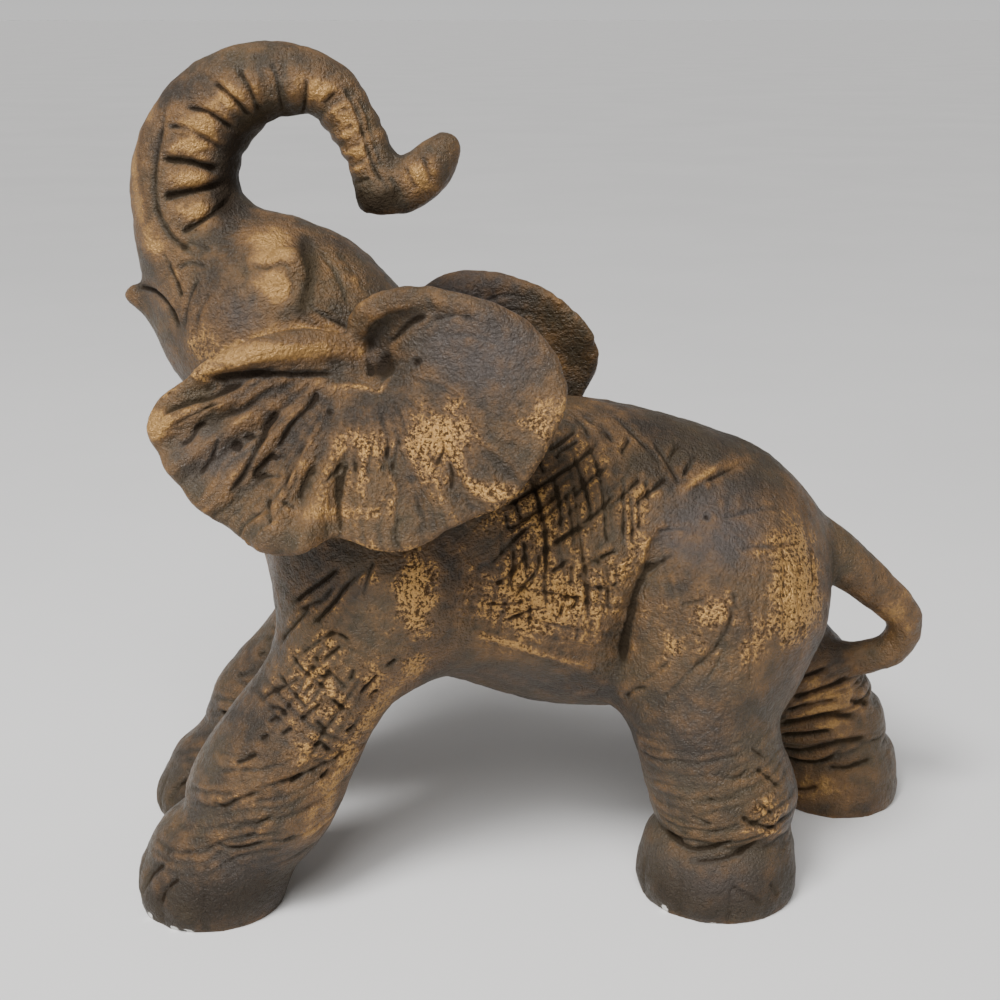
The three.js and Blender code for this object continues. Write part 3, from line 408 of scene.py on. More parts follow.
# Gold rubbed on the raised parts: middle in the side view, reach along x and z, strength
GOLD_PATCHES = [
    (-33.2, 91.0, 3.2, 2.2, 0.85), (-30.2, 94.0, 2.4, 2.2, 0.8), (-35.2, 85.0, 2.6, 1.5, 0.75),
    (-34.8, 81.4, 2.6, 1.5, 0.7), (-34.6, 88.6, 2.6, 1.4, 0.8), (-20.5, 95.0, 2.6, 1.8, 0.75),
    (-17.6, 91.0, 1.8, 2.0, 0.75), (-16.4, 87.4, 1.7, 2.8, 0.7), (-9.2, 85.0, 2.2, 1.9, 0.8),
    (-25.8, 78.0, 2.8, 2.0, 1.15), (-25.4, 73.8, 2.4, 1.7, 1.15), (-21.0, 75.6, 3.0, 3.0, 0.35),
    (-33.0, 66.6, 3.2, 5.0, 0.6), (-36.6, 74.0, 2.6, 3.0, 0.35), (-16.6, 74.0, 1.6, 1.0, 0.6),
    (-10.6, 41.0, 2.4, 6.0, 1.0), (4.0, 38.5, 10.0, 5.5, 0.72), (0.0, 33.0, 14.0, 2.5, 0.45),
    (12.0, 54.5, 5.0, 3.5, 0.45), (15.0, 48.0, 2.2, 5.0, 0.6), (33.5, 39.5, 4.2, 7.5, 1.0),
    (23.0, 38.4, 3.5, 2.6, 0.5), (19.0, 33.0, 3.0, 3.0, 0.45), (28.0, 33.0, 2.5, 4.0, 0.4),
    (-30.0, 17.4, 2.5, 2.0, 0.45), (-24.0, 22.0, 3.0, 4.0, 0.4), (30.0, 13.5, 2.4, 3.0, 0.42),
    (31.5, 5.0, 2.0, 3.6, 0.3), (44.0, 16.5, 5.0, 5.0, 0.62), (44.0, 4.4, 6.0, 3.0, 0.6),
    (50.0, 30.0, 5.0, 7.0, 0.5), (-22.0, 31.0, 4.5, 6.0, 0.42), (-29.0, 42.0, 2.4, 5.0, 0.6),
    (-15.0, 30.0, 3.0, 4.0, 0.6), (4.0, 49.0, 8.0, 6.0, 0.4),
]
# Gold along raised edges and rolls: ways in the side view, half width, strength. Partly painted highlight:
# the bands down the trunk's outer edge and along the ear's curled lower rim paint the light that they catch
GOLD_AND_HIGHLIGHT_LINES = [
    ([(-40.2, 92.0), (-41.4, 88.0), (-41.4, 82.0), (-39.4, 77.6)], 1.5, 0.7),
    ([(-16.4, 67.6), (-20.6, 68.8), (-26.4, 68.4), (-32.6, 65.6)], 1.3, 0.95),
    ([(-21.4, 48.0), (-17.0, 48.4), (-13.0, 47.4), (-9.0, 47.4)], 0.9, 1.0),
    ([(7.6, 63.0), (6.6, 59.0), (3.4, 54.4)], 0.9, 0.85),
    ([(-10.5, 31.5), (-16.0, 24.5), (-20.4, 17.4), (-22.8, 12.0)], 2.2, 0.7),
    ([(15.8, 52.0), (14.6, 46.0), (12.8, 41.0)], 0.8, 0.6),
    ([(20.3, 50.2), (23.0, 51.4), (29.3, 51.9)], 0.7, 0.6),
    ([(-3.5, 34.4), (4.2, 31.8), (10.0, 29.6)], 0.8, 0.6),
]
# Where the gold lies in coarse grains: middle and reach, and how coarse it is
COARSE_PATCHES = [
    (4.0, 46.0, 14.0, 14.0, 1.0), (-14.0, 40.0, 9.0, 10.0, 0.9), (32.0, 40.0, 8.0, 10.0, 0.7),
    (-22.0, 30.0, 8.0, 12.0, 0.8), (22.0, 36.0, 8.0, 8.0, 0.8), (30.0, 14.0, 6.0, 8.0, 0.6),
    (-7.0, 58.0, 14.0, 9.0, 1.0), (-36.0, 66.0, 6.0, 6.0, 0.5), (-31.0, 14.0, 8.0, 8.0, 0.5),
]
# The same as the gold patches, on the ears, in the head's own frame for the near ear; partly gold, partly
# painted highlights where the ear catches the light, such as the bright spot low towards its back
EAR_GOLD_AND_HIGHLIGHTS = [
    (-5.1, 57.5, 4.2, 3.6, 0.8), (5.6, 60.2, 2.2, 3.0, 0.6), (-13.4, 57.0, 4.0, 2.0, 0.62),
    (-35.3, 58.8, 2.0, 1.8, 0.9), (-25.4, 60.6, 4.0, 1.6, 0.4), (-15.0, 53.0, 9.0, 4.5, 0.34),
    (0.2, 52.4, 2.4, 1.0, 0.9), (-23.0, 66.4, 8.0, 1.2, 1.1), (-16.0, 50.0, 6.0, 1.0, 0.8),
    (-15.0, 62.6, 5.0, 0.7, 0.6), (-27.0, 52.0, 3.0, 2.4, 0.3),
]
# Painted shade: dark bands in the creases, inside the trunk's curl, under its tip, round the feet by the
# floor and below the line of the back: ways in the side view, half width, strength
PAINTED_SHADE_LINES = [
    ([(-31.4, 82.0), (-30.9, 85.6), (-29.4, 89.4), (-26.6, 91.4), (-22.8, 91.4)], 1.5, 0.8),
    ([(-17.8, 83.4), (-14.6, 82.2), (-12.2, 82.8)], 1.2, 0.9),
    ([(-22.4, 78.0), (-21.5, 76.2), (-21.6, 73.8), (-22.6, 71.6)], 0.9, 0.6),
    ([(-40.4, 91.0), (-40.9, 86.0), (-39.9, 80.0)], 0.5, 0.3),
    ([(-43.0, 2.0), (-36.0, 3.0), (-29.0, 4.5)], 4.0, 0.35),
    ([(18.0, 3.0), (26.0, 3.5), (33.0, 4.0)], 4.0, 0.4),
    ([(8.0, 52.0), (16.0, 54.0), (26.0, 56.0), (32.0, 52.0)], 4.0, 0.25),
]
# Grey-violet paint that shows where the gold never took: middle, reach, strength
GREY_PATCHES = [
    (-3.0, 68.5, 9.0, 6.5, 0.9), (-31.0, 57.5, 6.0, 4.5, 0.6), (24.0, 46.5, 9.0, 5.5, 0.9),
    (-30.0, 70.5, 4.5, 4.0, 0.7), (22.0, 24.0, 6.0, 8.0, 0.55), (-25.0, 96.5, 9.0, 2.4, 0.35),
    (-40.0, 71.5, 4.0, 3.0, 0.5), (-31.5, 8.0, 9.0, 4.0, 0.6), (25.0, 5.0, 9.0, 4.5, 0.6),
    (-25.0, 26.0, 4.5, 6.0, 0.45), (44.0, 22.0, 5.0, 3.0, 0.5), (1.0, 27.5, 14.0, 3.0, 0.5),
]
# Chips where the white body shows: place and reach
CHIPS = [
    (-42.6, -17.2, 0.4, 0.9), (-39.4, -19.9, 0.3, 0.8), (-37.6, -20.3, 0.3, 0.9), (18.4, -19.8, 0.6, 0.9),
    (24.0, -22.8, 0.3, 0.5),
]

# The right side, which is turned away, is carved plainer: to this share of the depth
HIDDEN_SIDE_SHARE = 0.55
# The side carving fades in as the skin turns to the side, by the share of its facing across
FACING_SIDE = (0.15, 0.5)
SOLE_FADE = 0.8

# Lumps as rise, width and seed: how lines of cuts bend, how the ears' pleats wander, and the
# hand-modelled unevenness of the whole skin
BEND_LUMPS = [(0.4, 6.0, 41), (0.15, 2.2, 43)]
WANDER_LUMPS = [(0.09, 5.0, 3), (0.03, 1.6, 4)]
SKIN_LUMPS = [(0.12, 4.5, 91), (0.09, 1.7, 97), (0.05, 0.8, 101)]

# Whole numbers that mix a cell's place and seed into a repeatable scatter
SCATTER_PRIMES = (374761393, 668265263, 2246822519)
SCATTER_BY_SEED = 144269
SCATTER_START = 17
SCATTER_MIX = np.uint64(1274126177)
SCATTER_RANGE = 0xFFFFFFFF

# Hatched cuts: how far each is shifted, as a share of the spacing, its least strength, and the gaps in it
HATCH_SHIFT = 0.5
HATCH_LEAST = 0.35
HATCH_GAP_LENGTH = 5.0
HATCH_GAPS_APART = 9.7
HATCH_GAP_EDGE = (-0.75, 0.0)

# Strokes: how far round its middle line one is felt, in half widths, and how its ends run out
STROKE_REACH = 3
STROKE_ENDS = (-0.02, 0.2)

# The skin's making: spacing as a share of a hundredth of the height, places joined that lie closer than
# this, subdivisions, sharp edge of the soles, and the pushes that smooth without shrinking
SKIN_VOXEL_SHARE = 0.22
JOIN_CLOSER = 0.001
SUBDIVISIONS = 2
SOLE_EDGE_ANGLE = math.radians(30)
FLOOR_MARGIN = 0.12
SOLE_BAND = 3 * FLOOR_MARGIN
SMOOTHING_PUSHES = (0.5, -0.53)

# Patina: how fast paint gathers with the depth of a cut, how far round wear looks and how much it
# counts, and how much of the body's gold the ears lose
PAINT_IN_CUTS = 1.7
FINE_PASSES = 4
BROAD_PASSES = 24
WEAR_BY_FINE = 5.0
WEAR_BY_BROAD = 2.2
EARS_LOSE = 0.6

# Grain of the paint, in lumps to a metre: broad mottling, middle mottling, fine grain and specks
MOTTLE_BROAD = 45.0
MOTTLE_MIDDLE = 230.0
GRAIN_FINE = 800.0
GRAIN_SPECK = 1600.0
MOTTLE_GAIN = 1.2
GRAIN_GAIN = 1.6
# How much gold covers and shines, and how dark the hollows are
BRONZE_COVER = 0.9
GOLD_SHINE = 0.75
HOLLOW_COVER = 0.72

# Lights, in metres and degrees, and the pale surround
KEY_PLACE = (-0.22, -0.3, 0.6)
KEY_SIZE = 0.2
WINDOW_TILT = 36.0
WINDOW_TURN = -20.0
SURROUND_COLOUR = (0.83, 0.825, 0.82, 1.0)
FLOOR_MOTTLE = 6.0
FLOOR_DARKER = 0.96

# Where the camera stands, in metres, and how far it looks down and to the side, in degrees
CAMERA_PLACE = (-0.02862, -0.29851, 0.165)
CAMERA_TILT = 17.0
CAMERA_TURN = -4.0
CAMERA_SENSOR_MM = 36.0
CAMERA_NEAREST = 0.01
# How high over the skyline, as a share, the surround takes on its own strength
SKYLINE_FADE = 0.2


def smoothstep(values, low, high):
    """0 below low, 1 above high and smooth between."""
    share = np.clip((values - low) / (high - low), 0.0, 1.0)
    return share * share * (3.0 - 2.0 * share)


def plan_of(points):
    """Places in metres as places on the carving plan."""
    return points / PERCENT + PLAN_SHIFT


def head_frame(points):
    """Places on the plan in the frame of the turned and leaning head."""
    moved = points - HEAD_PIVOT
    ct, st = math.cos(HEAD_TURN), math.sin(HEAD_TURN)
    cl, sl = math.cos(HEAD_LEAN), math.sin(HEAD_LEAN)
    x = ct * moved[:, 0] + st * moved[:, 1]
    y = -st * moved[:, 0] + ct * moved[:, 1]
    z = moved[:, 2]
    return np.stack([x, cl * y + sl * z, -sl * y + cl * z], axis=1) + HEAD_PIVOT


def scattered(cells, seed):
    """A repeatable number from 0 to 1 for each whole-numbered cell."""
    limit = np.uint64(SCATTER_RANGE)
    mixed = np.full(cells.shape[0], seed * SCATTER_BY_SEED + SCATTER_START, dtype=np.uint64)
    for column, prime in zip(cells.T, SCATTER_PRIMES):
        whole = column.astype(np.int64).astype(np.uint64)
        mixed = (mixed + whole * np.uint64(prime)) & limit
    mixed = ((mixed ^ (mixed >> np.uint64(13))) * SCATTER_MIX) & limit
    mixed = mixed ^ (mixed >> np.uint64(16))
    return mixed.astype(float) / SCATTER_RANGE


def noise(points, scale, seed):
    """Smooth noise from -1 to 1 whose lumps are about scale wide."""
    spread = points / scale
    corner = np.floor(spread)
    inner = spread - corner
    inner = inner * inner * (3.0 - 2.0 * inner)
    total = np.zeros(len(points))
    for offset in np.ndindex(2, 2, 2):
        weight = np.ones(len(points))
        for axis, step in enumerate(offset):
            weight *= inner[:, axis] if step else 1.0 - inner[:, axis]
        total += weight * scattered(corner + np.array(offset), seed)
    return 2.0 * total - 1.0


def rounded(stations, count=14):
    """A smooth curve through the stations, as count points."""
    knots = np.array([stations[0], *stations, stations[-1]], dtype=float)
    spans = len(stations) - 1
    out = []
    for place in np.linspace(0.0, spans, count):
        first = min(int(place), spans - 1)
        t = place - first
        p0, p1, p2, p3 = knots[first:first + 4]
        out.append(
            0.5 * (2 * p1 + (p2 - p0) * t + (2 * p0 - 5 * p1 + 4 * p2 - p3) * t ** 2
                   + (3 * p1 - p0 - 3 * p2 + p3) * t ** 3)
        )
    return np.array(out)


def stroke(flat, stations, width, taper=True):
    """How strongly each place in the side view is touched by a stroke along the stations, 0 to 1."""
    touched = np.zeros(len(flat))
    route = rounded(stations)
    low = route.min(axis=0) - STROKE_REACH * width
    high = route.max(axis=0) + STROKE_REACH * width
    near = np.flatnonzero(((flat > low) & (flat < high)).all(axis=1))
    if not len(near):
        return touched
    spots = flat[near]
    best = np.full(len(near), np.inf)
    along = np.zeros(len(near))
    for index, (start, end) in enumerate(zip(route[:-1], route[1:])):
        step = end - start
        share = np.clip(((spots - start) @ step) / max(step @ step, 1e-9), 0.0, 1.0)
        away = np.linalg.norm(spots - start - share[:, None] * step, axis=1)
        closer = away < best
        best = np.where(closer, away, best)
        along = np.where(closer, (index + share) / (len(route) - 1), along)
    ends = smoothstep(np.minimum(along, 1.0 - along), *STROKE_ENDS) if taper else 1.0
    touched[near] = np.exp(-((best / width) ** 2)) * ends
    return touched


def strokes(flat, table):
    """The height that a table of creases takes away."""
    return sum(depth * stroke(flat, stations, width) for stations, width, depth in table)


def cuts(flat, ways, width, depth):
    """The height that a group of like cuts takes away; crossing cuts are no deeper than one."""
    deepest = np.zeros(len(flat))
    for way in ways:
        deepest = np.maximum(deepest, stroke(flat, way, width))
    return depth * deepest


def hatch(across, along, spacing, width, seed):
    """Roughly parallel cuts, each of its own strength and with gaps, 0 to 1."""
    cut = np.round(across / spacing)
    place = np.stack([cut, np.zeros_like(cut), np.zeros_like(cut)], axis=1)
    own_place = (scattered(place, seed) - 0.5) * HATCH_SHIFT * spacing
    strength = HATCH_LEAST + (1.0 - HATCH_LEAST) * scattered(place, seed + 1)
    gap_places = np.stack([along, cut * HATCH_GAPS_APART, np.zeros_like(cut)], axis=1)
    gaps = noise(gap_places, HATCH_GAP_LENGTH, seed + 2)
    away = across - cut * spacing - own_place
    return strength * smoothstep(gaps, *HATCH_GAP_EDGE) * np.exp(-((away / width) ** 2))


def patch(flat, middle_x, middle_z, reach_x, reach_z):
    """A soft oval patch in the side view, 0 to 1."""
    return np.exp(
        -(((flat[:, 0] - middle_x) / reach_x) ** 2) - ((flat[:, 1] - middle_z) / reach_z) ** 2
    )


def hatched(flat, bend, areas):
    """The height that a table of hatched areas takes away."""
    height = np.zeros(len(flat))
    for (by_x, by_z), runs, spacing, width, depth, area, seed in areas:
        across = by_x * flat[:, 0] + by_z * flat[:, 1] + bend
        height += depth * hatch(across, flat[:, runs], spacing, width, seed) * patch(flat, *area)
    return height


def lumps(points, sizes):
    """The unevenness that lumps of several sizes make together."""
    return sum(rise * noise(points, width, seed) for rise, width, seed in sizes)


def ear_share(points):
    """How much each place belongs to an ear, 0 to 1, and the places in the head's own frame."""
    turned = head_frame(points)
    out = np.abs(turned[:, 1])
    height = turned[:, 2]
    bound = EAR_BEGINS - EAR_BEGINS_NEARER * smoothstep(height, *EAR_NEARER_BETWEEN)
    share = smoothstep(out, bound, bound + EAR_BLEND) * smoothstep(height, *EAR_LOWER_EDGE)
    return share, turned


def ear_relief(share, turned, wander, sideways):
    """Pleats that fan from the ear's root, rings on the upper lobe, creases, ridges and pits."""
    height = np.zeros(len(turned))
    ring_spacing, ring_width, ring_depth, ring_seed = EAR_RINGS
    for side, root in EAR_ROOT.items():
        own = share * (np.sign(turned[:, 1]) == side)
        flat = turned[:, [0, 2]] - root + EAR_ROOT[-1]
        local = flat - EAR_ROOT[-1]
        back, up = local[:, 0], local[:, 1]
        reach = np.hypot(back, up)
        fan = EAR_FAN * (np.arctan2(up, back) + wander)
        below = smoothstep(-up - EAR_PLEATS_SLANT * back, *EAR_PLEATS_BELOW)
        below = below * smoothstep(reach, *EAR_PLEATS_FROM)
        above = smoothstep(up + EAR_RINGS_SLANT * back, *EAR_RINGS_ABOVE)
        above = above * smoothstep(reach, *EAR_RINGS_FROM)
        pleats = sum(
            depth * hatch(fan, reach, spacing, width, seed) for spacing, width, depth, seed in EAR_PLEATS
        )
        rounds = reach + EAR_RINGS_WANDER * wander
        rings = ring_depth * hatch(rounds, fan / EAR_RINGS_STRETCH, ring_spacing, ring_width, ring_seed)
        rise = -(below * pleats + above * rings) * sideways
        rise -= strokes(flat, EAR_CREASES)
        rise += strokes(flat, EAR_RIDGES)
        for middle_x, middle_z, pit_reach, depth in EAR_PITS:
            rise -= depth * patch(flat, middle_x, middle_z, pit_reach, pit_reach)
        height += own * rise
    return height


def trunk_relief(points, sideways):
    """Deep folds on the inner side of the curl and the ridge that parts them from its smooth outer side."""
    flat = points[:, [0, 2]]
    up = smoothstep(points[:, 2], *TRUNK_FROM)
    height = -strokes(flat, TRUNK_CREASES) * up * sideways
    height -= TRUNK_RIDGE_DEPTH * stroke(flat, TRUNK_RIDGE, TRUNK_RIDGE_WIDTH)
    for pad in TRUNK_PADS:
        height += TRUNK_PAD_RISE * patch(flat, *pad) * sideways
    return height


def head_relief(points):
    """Lids and creases round the eyes, the mouth and the wrinkles of the cheeks."""
    flat = points[:, [0, 2]]
    height = sum(EYE_LUMP_RISE * patch(flat, *lump) for lump in EYE_LUMPS)
    height -= strokes(flat, HEAD_CREASES)
    return height * smoothstep(points[:, 2], *HEAD_FROM)


def body_relief(points, bend, sideways):
    """Cross-hatched cuts on the flanks, brick-like skin below them, and the folds of hip and back."""
    flat = points[:, [0, 2]]
    height = -hatched(flat, bend, BODY_HATCHES)
    for ways, width, depth in BODY_CUTS:
        height -= cuts(flat, ways, width, depth)
    height -= strokes(flat, HIP_CREASES)
    height += strokes(flat, BODY_RIDGES)
    for middle_x, middle_z, reach, rise in KNOBS:
        height += rise * patch(flat, middle_x, middle_z, reach, reach)
    return height * sideways


def toe_relief(points):
    """Nails and the gaps between them along the front of each foot."""
    height = np.zeros(len(points))
    for middle_x, middle_y, radius, side in FEET:
        local = points[:, :2] - np.array([middle_x, middle_y])
        around = np.arctan2(local[:, 1] * side, -local[:, 0])
        near = smoothstep(radius + FOOT_EDGE - np.hypot(local[:, 0], local[:, 1]), 0.0, FOOT_FADE)
        low = smoothstep(TOES_BELOW - points[:, 2], 0.0, TOES_FADE) * near
        for toe in range(TOES):
            turn = (toe - (TOES - 1) / 2 + TOE_SHIFT) * TOE_SPREAD
            away = (around - turn) * radius
            up = points[:, 2] - NAIL_HEIGHT
            nail = np.exp(-((away / NAIL_WIDTH) ** 2) - (up / NAIL_LENGTH) ** 2)
            gap = np.exp(-(((around - turn - TOE_SPREAD / 2) * radius / TOE_GAP_WIDTH) ** 2))
            height += low * (NAIL_RISE * nail - TOE_GAP_DEPTH * gap)
    return height


def leg_relief(points, bend, sideways):
    """Wrinkled knees and ankles, the diamond cuts on the forelegs and the toes."""
    flat = points[:, [0, 2]]
    x, z = flat[:, 0], flat[:, 1]
    left = smoothstep(-points[:, 1], *LEG_FROM_MIDDLE)
    right = smoothstep(points[:, 1], *LEG_FROM_MIDDLE)
    foreleg = strokes(flat, NEAR_FRONT_LEG_CREASES)
    foreleg = foreleg + cuts(flat, FORELEG_CUTS, FORELEG_CUT_WIDTH, NEAR_FORELEG_CUT_DEPTH)
    height = -(foreleg + strokes(flat, NEAR_HIND_LEG_CREASES)) * left
    far_hind = smoothstep(x, *FAR_HIND_LEG_FROM) * (z < FAR_HIND_LEG_TOP)
    height -= strokes(flat, FAR_HIND_LEG_CREASES) * far_hind
    moved = flat + FAR_FORELEG_SHIFT
    other = strokes(moved, NEAR_FRONT_LEG_CREASES)
    other = other + cuts(moved, FORELEG_CUTS, FORELEG_CUT_WIDTH, FAR_FORELEG_CUT_DEPTH)
    height -= other * right * (x < FORELEGS_END)
    height -= hatched(flat, bend, FORELEG_HATCHES)
    spacing, width, depth, seed = WRINKLES
    wrinkles = hatch(z - WRINKLE_SLOPE * x + WRINKLE_BEND * bend, x, spacing, width, seed)
    fade = smoothstep(-z, *WRINKLES_FADE_OUT) * smoothstep(z, *WRINKLES_FADE_IN)
    height -= depth * wrinkles * fade
    return height * sideways + toe_relief(points)


def relief(points, facings):
    """The height that the carving adds at each place of the plan, in hundredths of the figurine's height."""
    ear, turned = ear_share(points)
    body = 1.0 - ear
    head = smoothstep(-points[:, 0], *HEAD_IN_FRONT) * body
    bend = lumps(points, BEND_LUMPS)
    wander = lumps(points, WANDER_LUMPS)
    sideways = smoothstep(np.abs(facings[:, 1]), *FACING_SIDE)
    height = ear_relief(ear, turned, wander, sideways)
    height += trunk_relief(points, sideways) * body + head_relief(points) * head
    height += body_relief(points, bend, sideways) * smoothstep(points[:, 0], *BODY_BEHIND) * body
    height += leg_relief(points, bend, sideways) * body
    height *= 1.0 - (1.0 - HIDDEN_SIDE_SHARE) * smoothstep(facings[:, 1], *FACING_SIDE)
    height += lumps(points, SKIN_LUMPS)
    return height * smoothstep(points[:, 2], 0.0, SOLE_FADE)


def edges_of(mesh):
    """The mesh's edges as an array of pairs."""
    pairs = np.empty(2 * len(mesh.edges), dtype=np.int64)
    mesh.edges.foreach_get("vertices", pairs)
    return pairs.reshape(-1, 2)


def places_of(mesh):
    """The mesh's vertices as an array of places."""
    flat = np.empty(3 * len(mesh.vertices))
    mesh.vertices.foreach_get("co", flat)
    return flat.reshape(-1, 3)


def facings_of(mesh):
    """The mesh's vertex normals."""
    flat = np.empty(3 * len(mesh.vertices))
    mesh.vertex_normals.foreach_get("vector", flat)
    return flat.reshape(-1, 3)


def mean_of_neighbours(values, pairs):
    """For each vertex, the mean of its neighbours' values."""
    count = len(values)
    degree = np.bincount(pairs.ravel(), minlength=count).clip(1)
    columns = values.reshape(count, -1)
    out = np.empty_like(columns)
    for index in range(columns.shape[1]):
        column = columns[:, index]
        total = np.bincount(pairs[:, 0], column[pairs[:, 1]], count)
        total += np.bincount(pairs[:, 1], column[pairs[:, 0]], count)
        out[:, index] = total / degree
    return out.reshape(values.shape)


def relaxed(places, pairs, passes):
    """Smooths facets away without shrinking the form."""
    for _ in range(passes):
        for push in SMOOTHING_PUSHES:
            places = places + push * (mean_of_neighbours(places, pairs) - places)
    return places


def evaluated_copy(piece):
    """The piece's mesh with its modifiers applied."""
    bpy.context.view_layer.update()
    ready = piece.evaluated_get(bpy.context.evaluated_depsgraph_get())
    mesh = bpy.data.meshes.new_from_object(ready)
    piece.modifiers.clear()
    old = piece.data
    piece.data = mesh
    bpy.data.meshes.remove(old)
    return mesh


def base_skin(name, voxel, passes):
    """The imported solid's own skin, subdivided, made even and smoothed, as a new object."""
    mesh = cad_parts[NODE].data.copy()
    piece = bpy.data.objects.new(name, mesh)
    bpy.context.scene.collection.objects.link(piece)
    work = bmesh.new()
    work.from_mesh(mesh)
    bmesh.ops.remove_doubles(work, verts=work.verts, dist=PERCENT * JOIN_CLOSER)
    crease = work.edges.layers.float.new("crease_edge")
    for edge in work.edges:
        low = all(vertex.co.z < PERCENT * FLOOR_MARGIN for vertex in edge.verts)
        if low and edge.calc_face_angle(0.0) > SOLE_EDGE_ANGLE:
            edge[crease] = 1.0
    work.to_mesh(mesh)
    work.free()
    subdivide = piece.modifiers.new("subdivide", "SUBSURF")
    subdivide.levels = SUBDIVISIONS
    subdivide.render_levels = SUBDIVISIONS
    remesh = piece.modifiers.new("even out", "REMESH")
    remesh.mode = "VOXEL"
    remesh.voxel_size = voxel
    mesh = evaluated_copy(piece)
    places = places_of(mesh)
    sole = places[:, 2] < PERCENT * SOLE_BAND
    smooth = relaxed(places, edges_of(mesh), passes)
    smooth[sole, 2] = np.minimum(places[sole, 2], PERCENT * SOLE_BAND)
    smooth[:, 2] = np.maximum(smooth[:, 2], 0.0)
    mesh.vertices.foreach_set("co", smooth.ravel())
    mesh.update()
    return piece


def carve(piece, strength):
    """Moves the skin in and out by the relief and keeps the relief's height for the patina."""
    mesh = piece.data
    places = places_of(mesh)
    facings = facings_of(mesh)
    height = relief(plan_of(places), facings)
    carved = places + facings * (height * PERCENT * strength)[:, None]
    carved[:, 2] = np.maximum(carved[:, 2], 0.0)
    mesh.vertices.foreach_set("co", carved.ravel())
    mesh.update()
    store(mesh, "cut", np.clip(-height * PAINT_IN_CUTS, 0.0, 1.0))


def lighten(piece, triangles):
    """Brings the piece down to the number of triangles, most where it is flat, and validates it."""
    mesh = piece.data
    count = sum(len(face.vertices) - 2 for face in mesh.polygons)
    if count <= triangles:
        return
    thin = piece.modifiers.new("lighten", "DECIMATE")
    thin.ratio = triangles / count
    thin.use_collapse_triangulate = True
    evaluated_copy(piece).validate()


def store(mesh, name, values):
    """Keeps one number for each vertex under a name that the material reads."""
    layer = mesh.attributes.new(name, "FLOAT", "POINT")
    layer.data.foreach_set("value", values.astype(np.float32))


def strongest(flat, patches):
    """The strongest of a table's patches at each place."""
    best = np.zeros(len(flat))
    for middle_x, middle_z, reach_x, reach_z, strength in patches:
        best = np.maximum(best, strength * patch(flat, middle_x, middle_z, reach_x, reach_z))
    return best


def standing_out(places, facings, pairs, passes):
    """How far each place stands out of its surroundings; more passes look further round."""
    around = places
    for _ in range(passes):
        around = mean_of_neighbours(around, pairs)
    return ((places - around) * facings).sum(axis=1) / PERCENT


def patina(piece):
    """Works out where the gold is rubbed on, with painted highlights among it, where shade is painted, where
    the grey shows, and where the skin is worn or chipped.
    """
    mesh = piece.data
    places = places_of(mesh)
    points = plan_of(places)
    flat = points[:, [0, 2]]
    pairs = edges_of(mesh)
    facings = facings_of(mesh)
    fine = mean_of_neighbours(standing_out(places, facings, pairs, FINE_PASSES), pairs)
    broad = mean_of_neighbours(standing_out(places, facings, pairs, BROAD_PASSES), pairs)
    ear, turned = ear_share(points)
    gold = strongest(flat, GOLD_PATCHES)
    # Painted highlights: the lines down the trunk's outer edge and along the ear's curled lower rim paint
    # the light they catch, as gold
    for stations, width, strength in GOLD_AND_HIGHLIGHT_LINES:
        gold = np.maximum(gold, strength * stroke(flat, stations, width, taper=False))
    # On the ears, part of the gold is painted highlight where they catch the light
    ear_gold_and_highlights = strongest(turned[:, [0, 2]], EAR_GOLD_AND_HIGHLIGHTS)
    gold = np.maximum(gold * (1.0 - EARS_LOSE * ear), ear_gold_and_highlights * ear)
    chip = np.zeros(len(points))
    for x, y, z, reach in CHIPS:
        away = np.linalg.norm(points - np.array([x, y, z]), axis=1)
        chip = np.maximum(chip, np.exp(-((away / reach) ** 2)))
    store(mesh, "gold", gold)
    # Painted shade: dark bands in the creases, inside the trunk's curl, under its tip and round the feet
    dark = np.zeros(len(points))
    for stations, width, strength in PAINTED_SHADE_LINES:
        dark = np.maximum(dark, strength * stroke(flat, stations, width, taper=False))
    store(mesh, "dark", dark)
    store(mesh, "grey", strongest(flat, GREY_PATCHES))
    store(mesh, "coarse", strongest(flat, COARSE_PATCHES))
    store(mesh, "worn", np.clip(WEAR_BY_FINE * fine + WEAR_BY_BROAD * broad, -1.0, 1.0))
    store(mesh, "chip", chip)


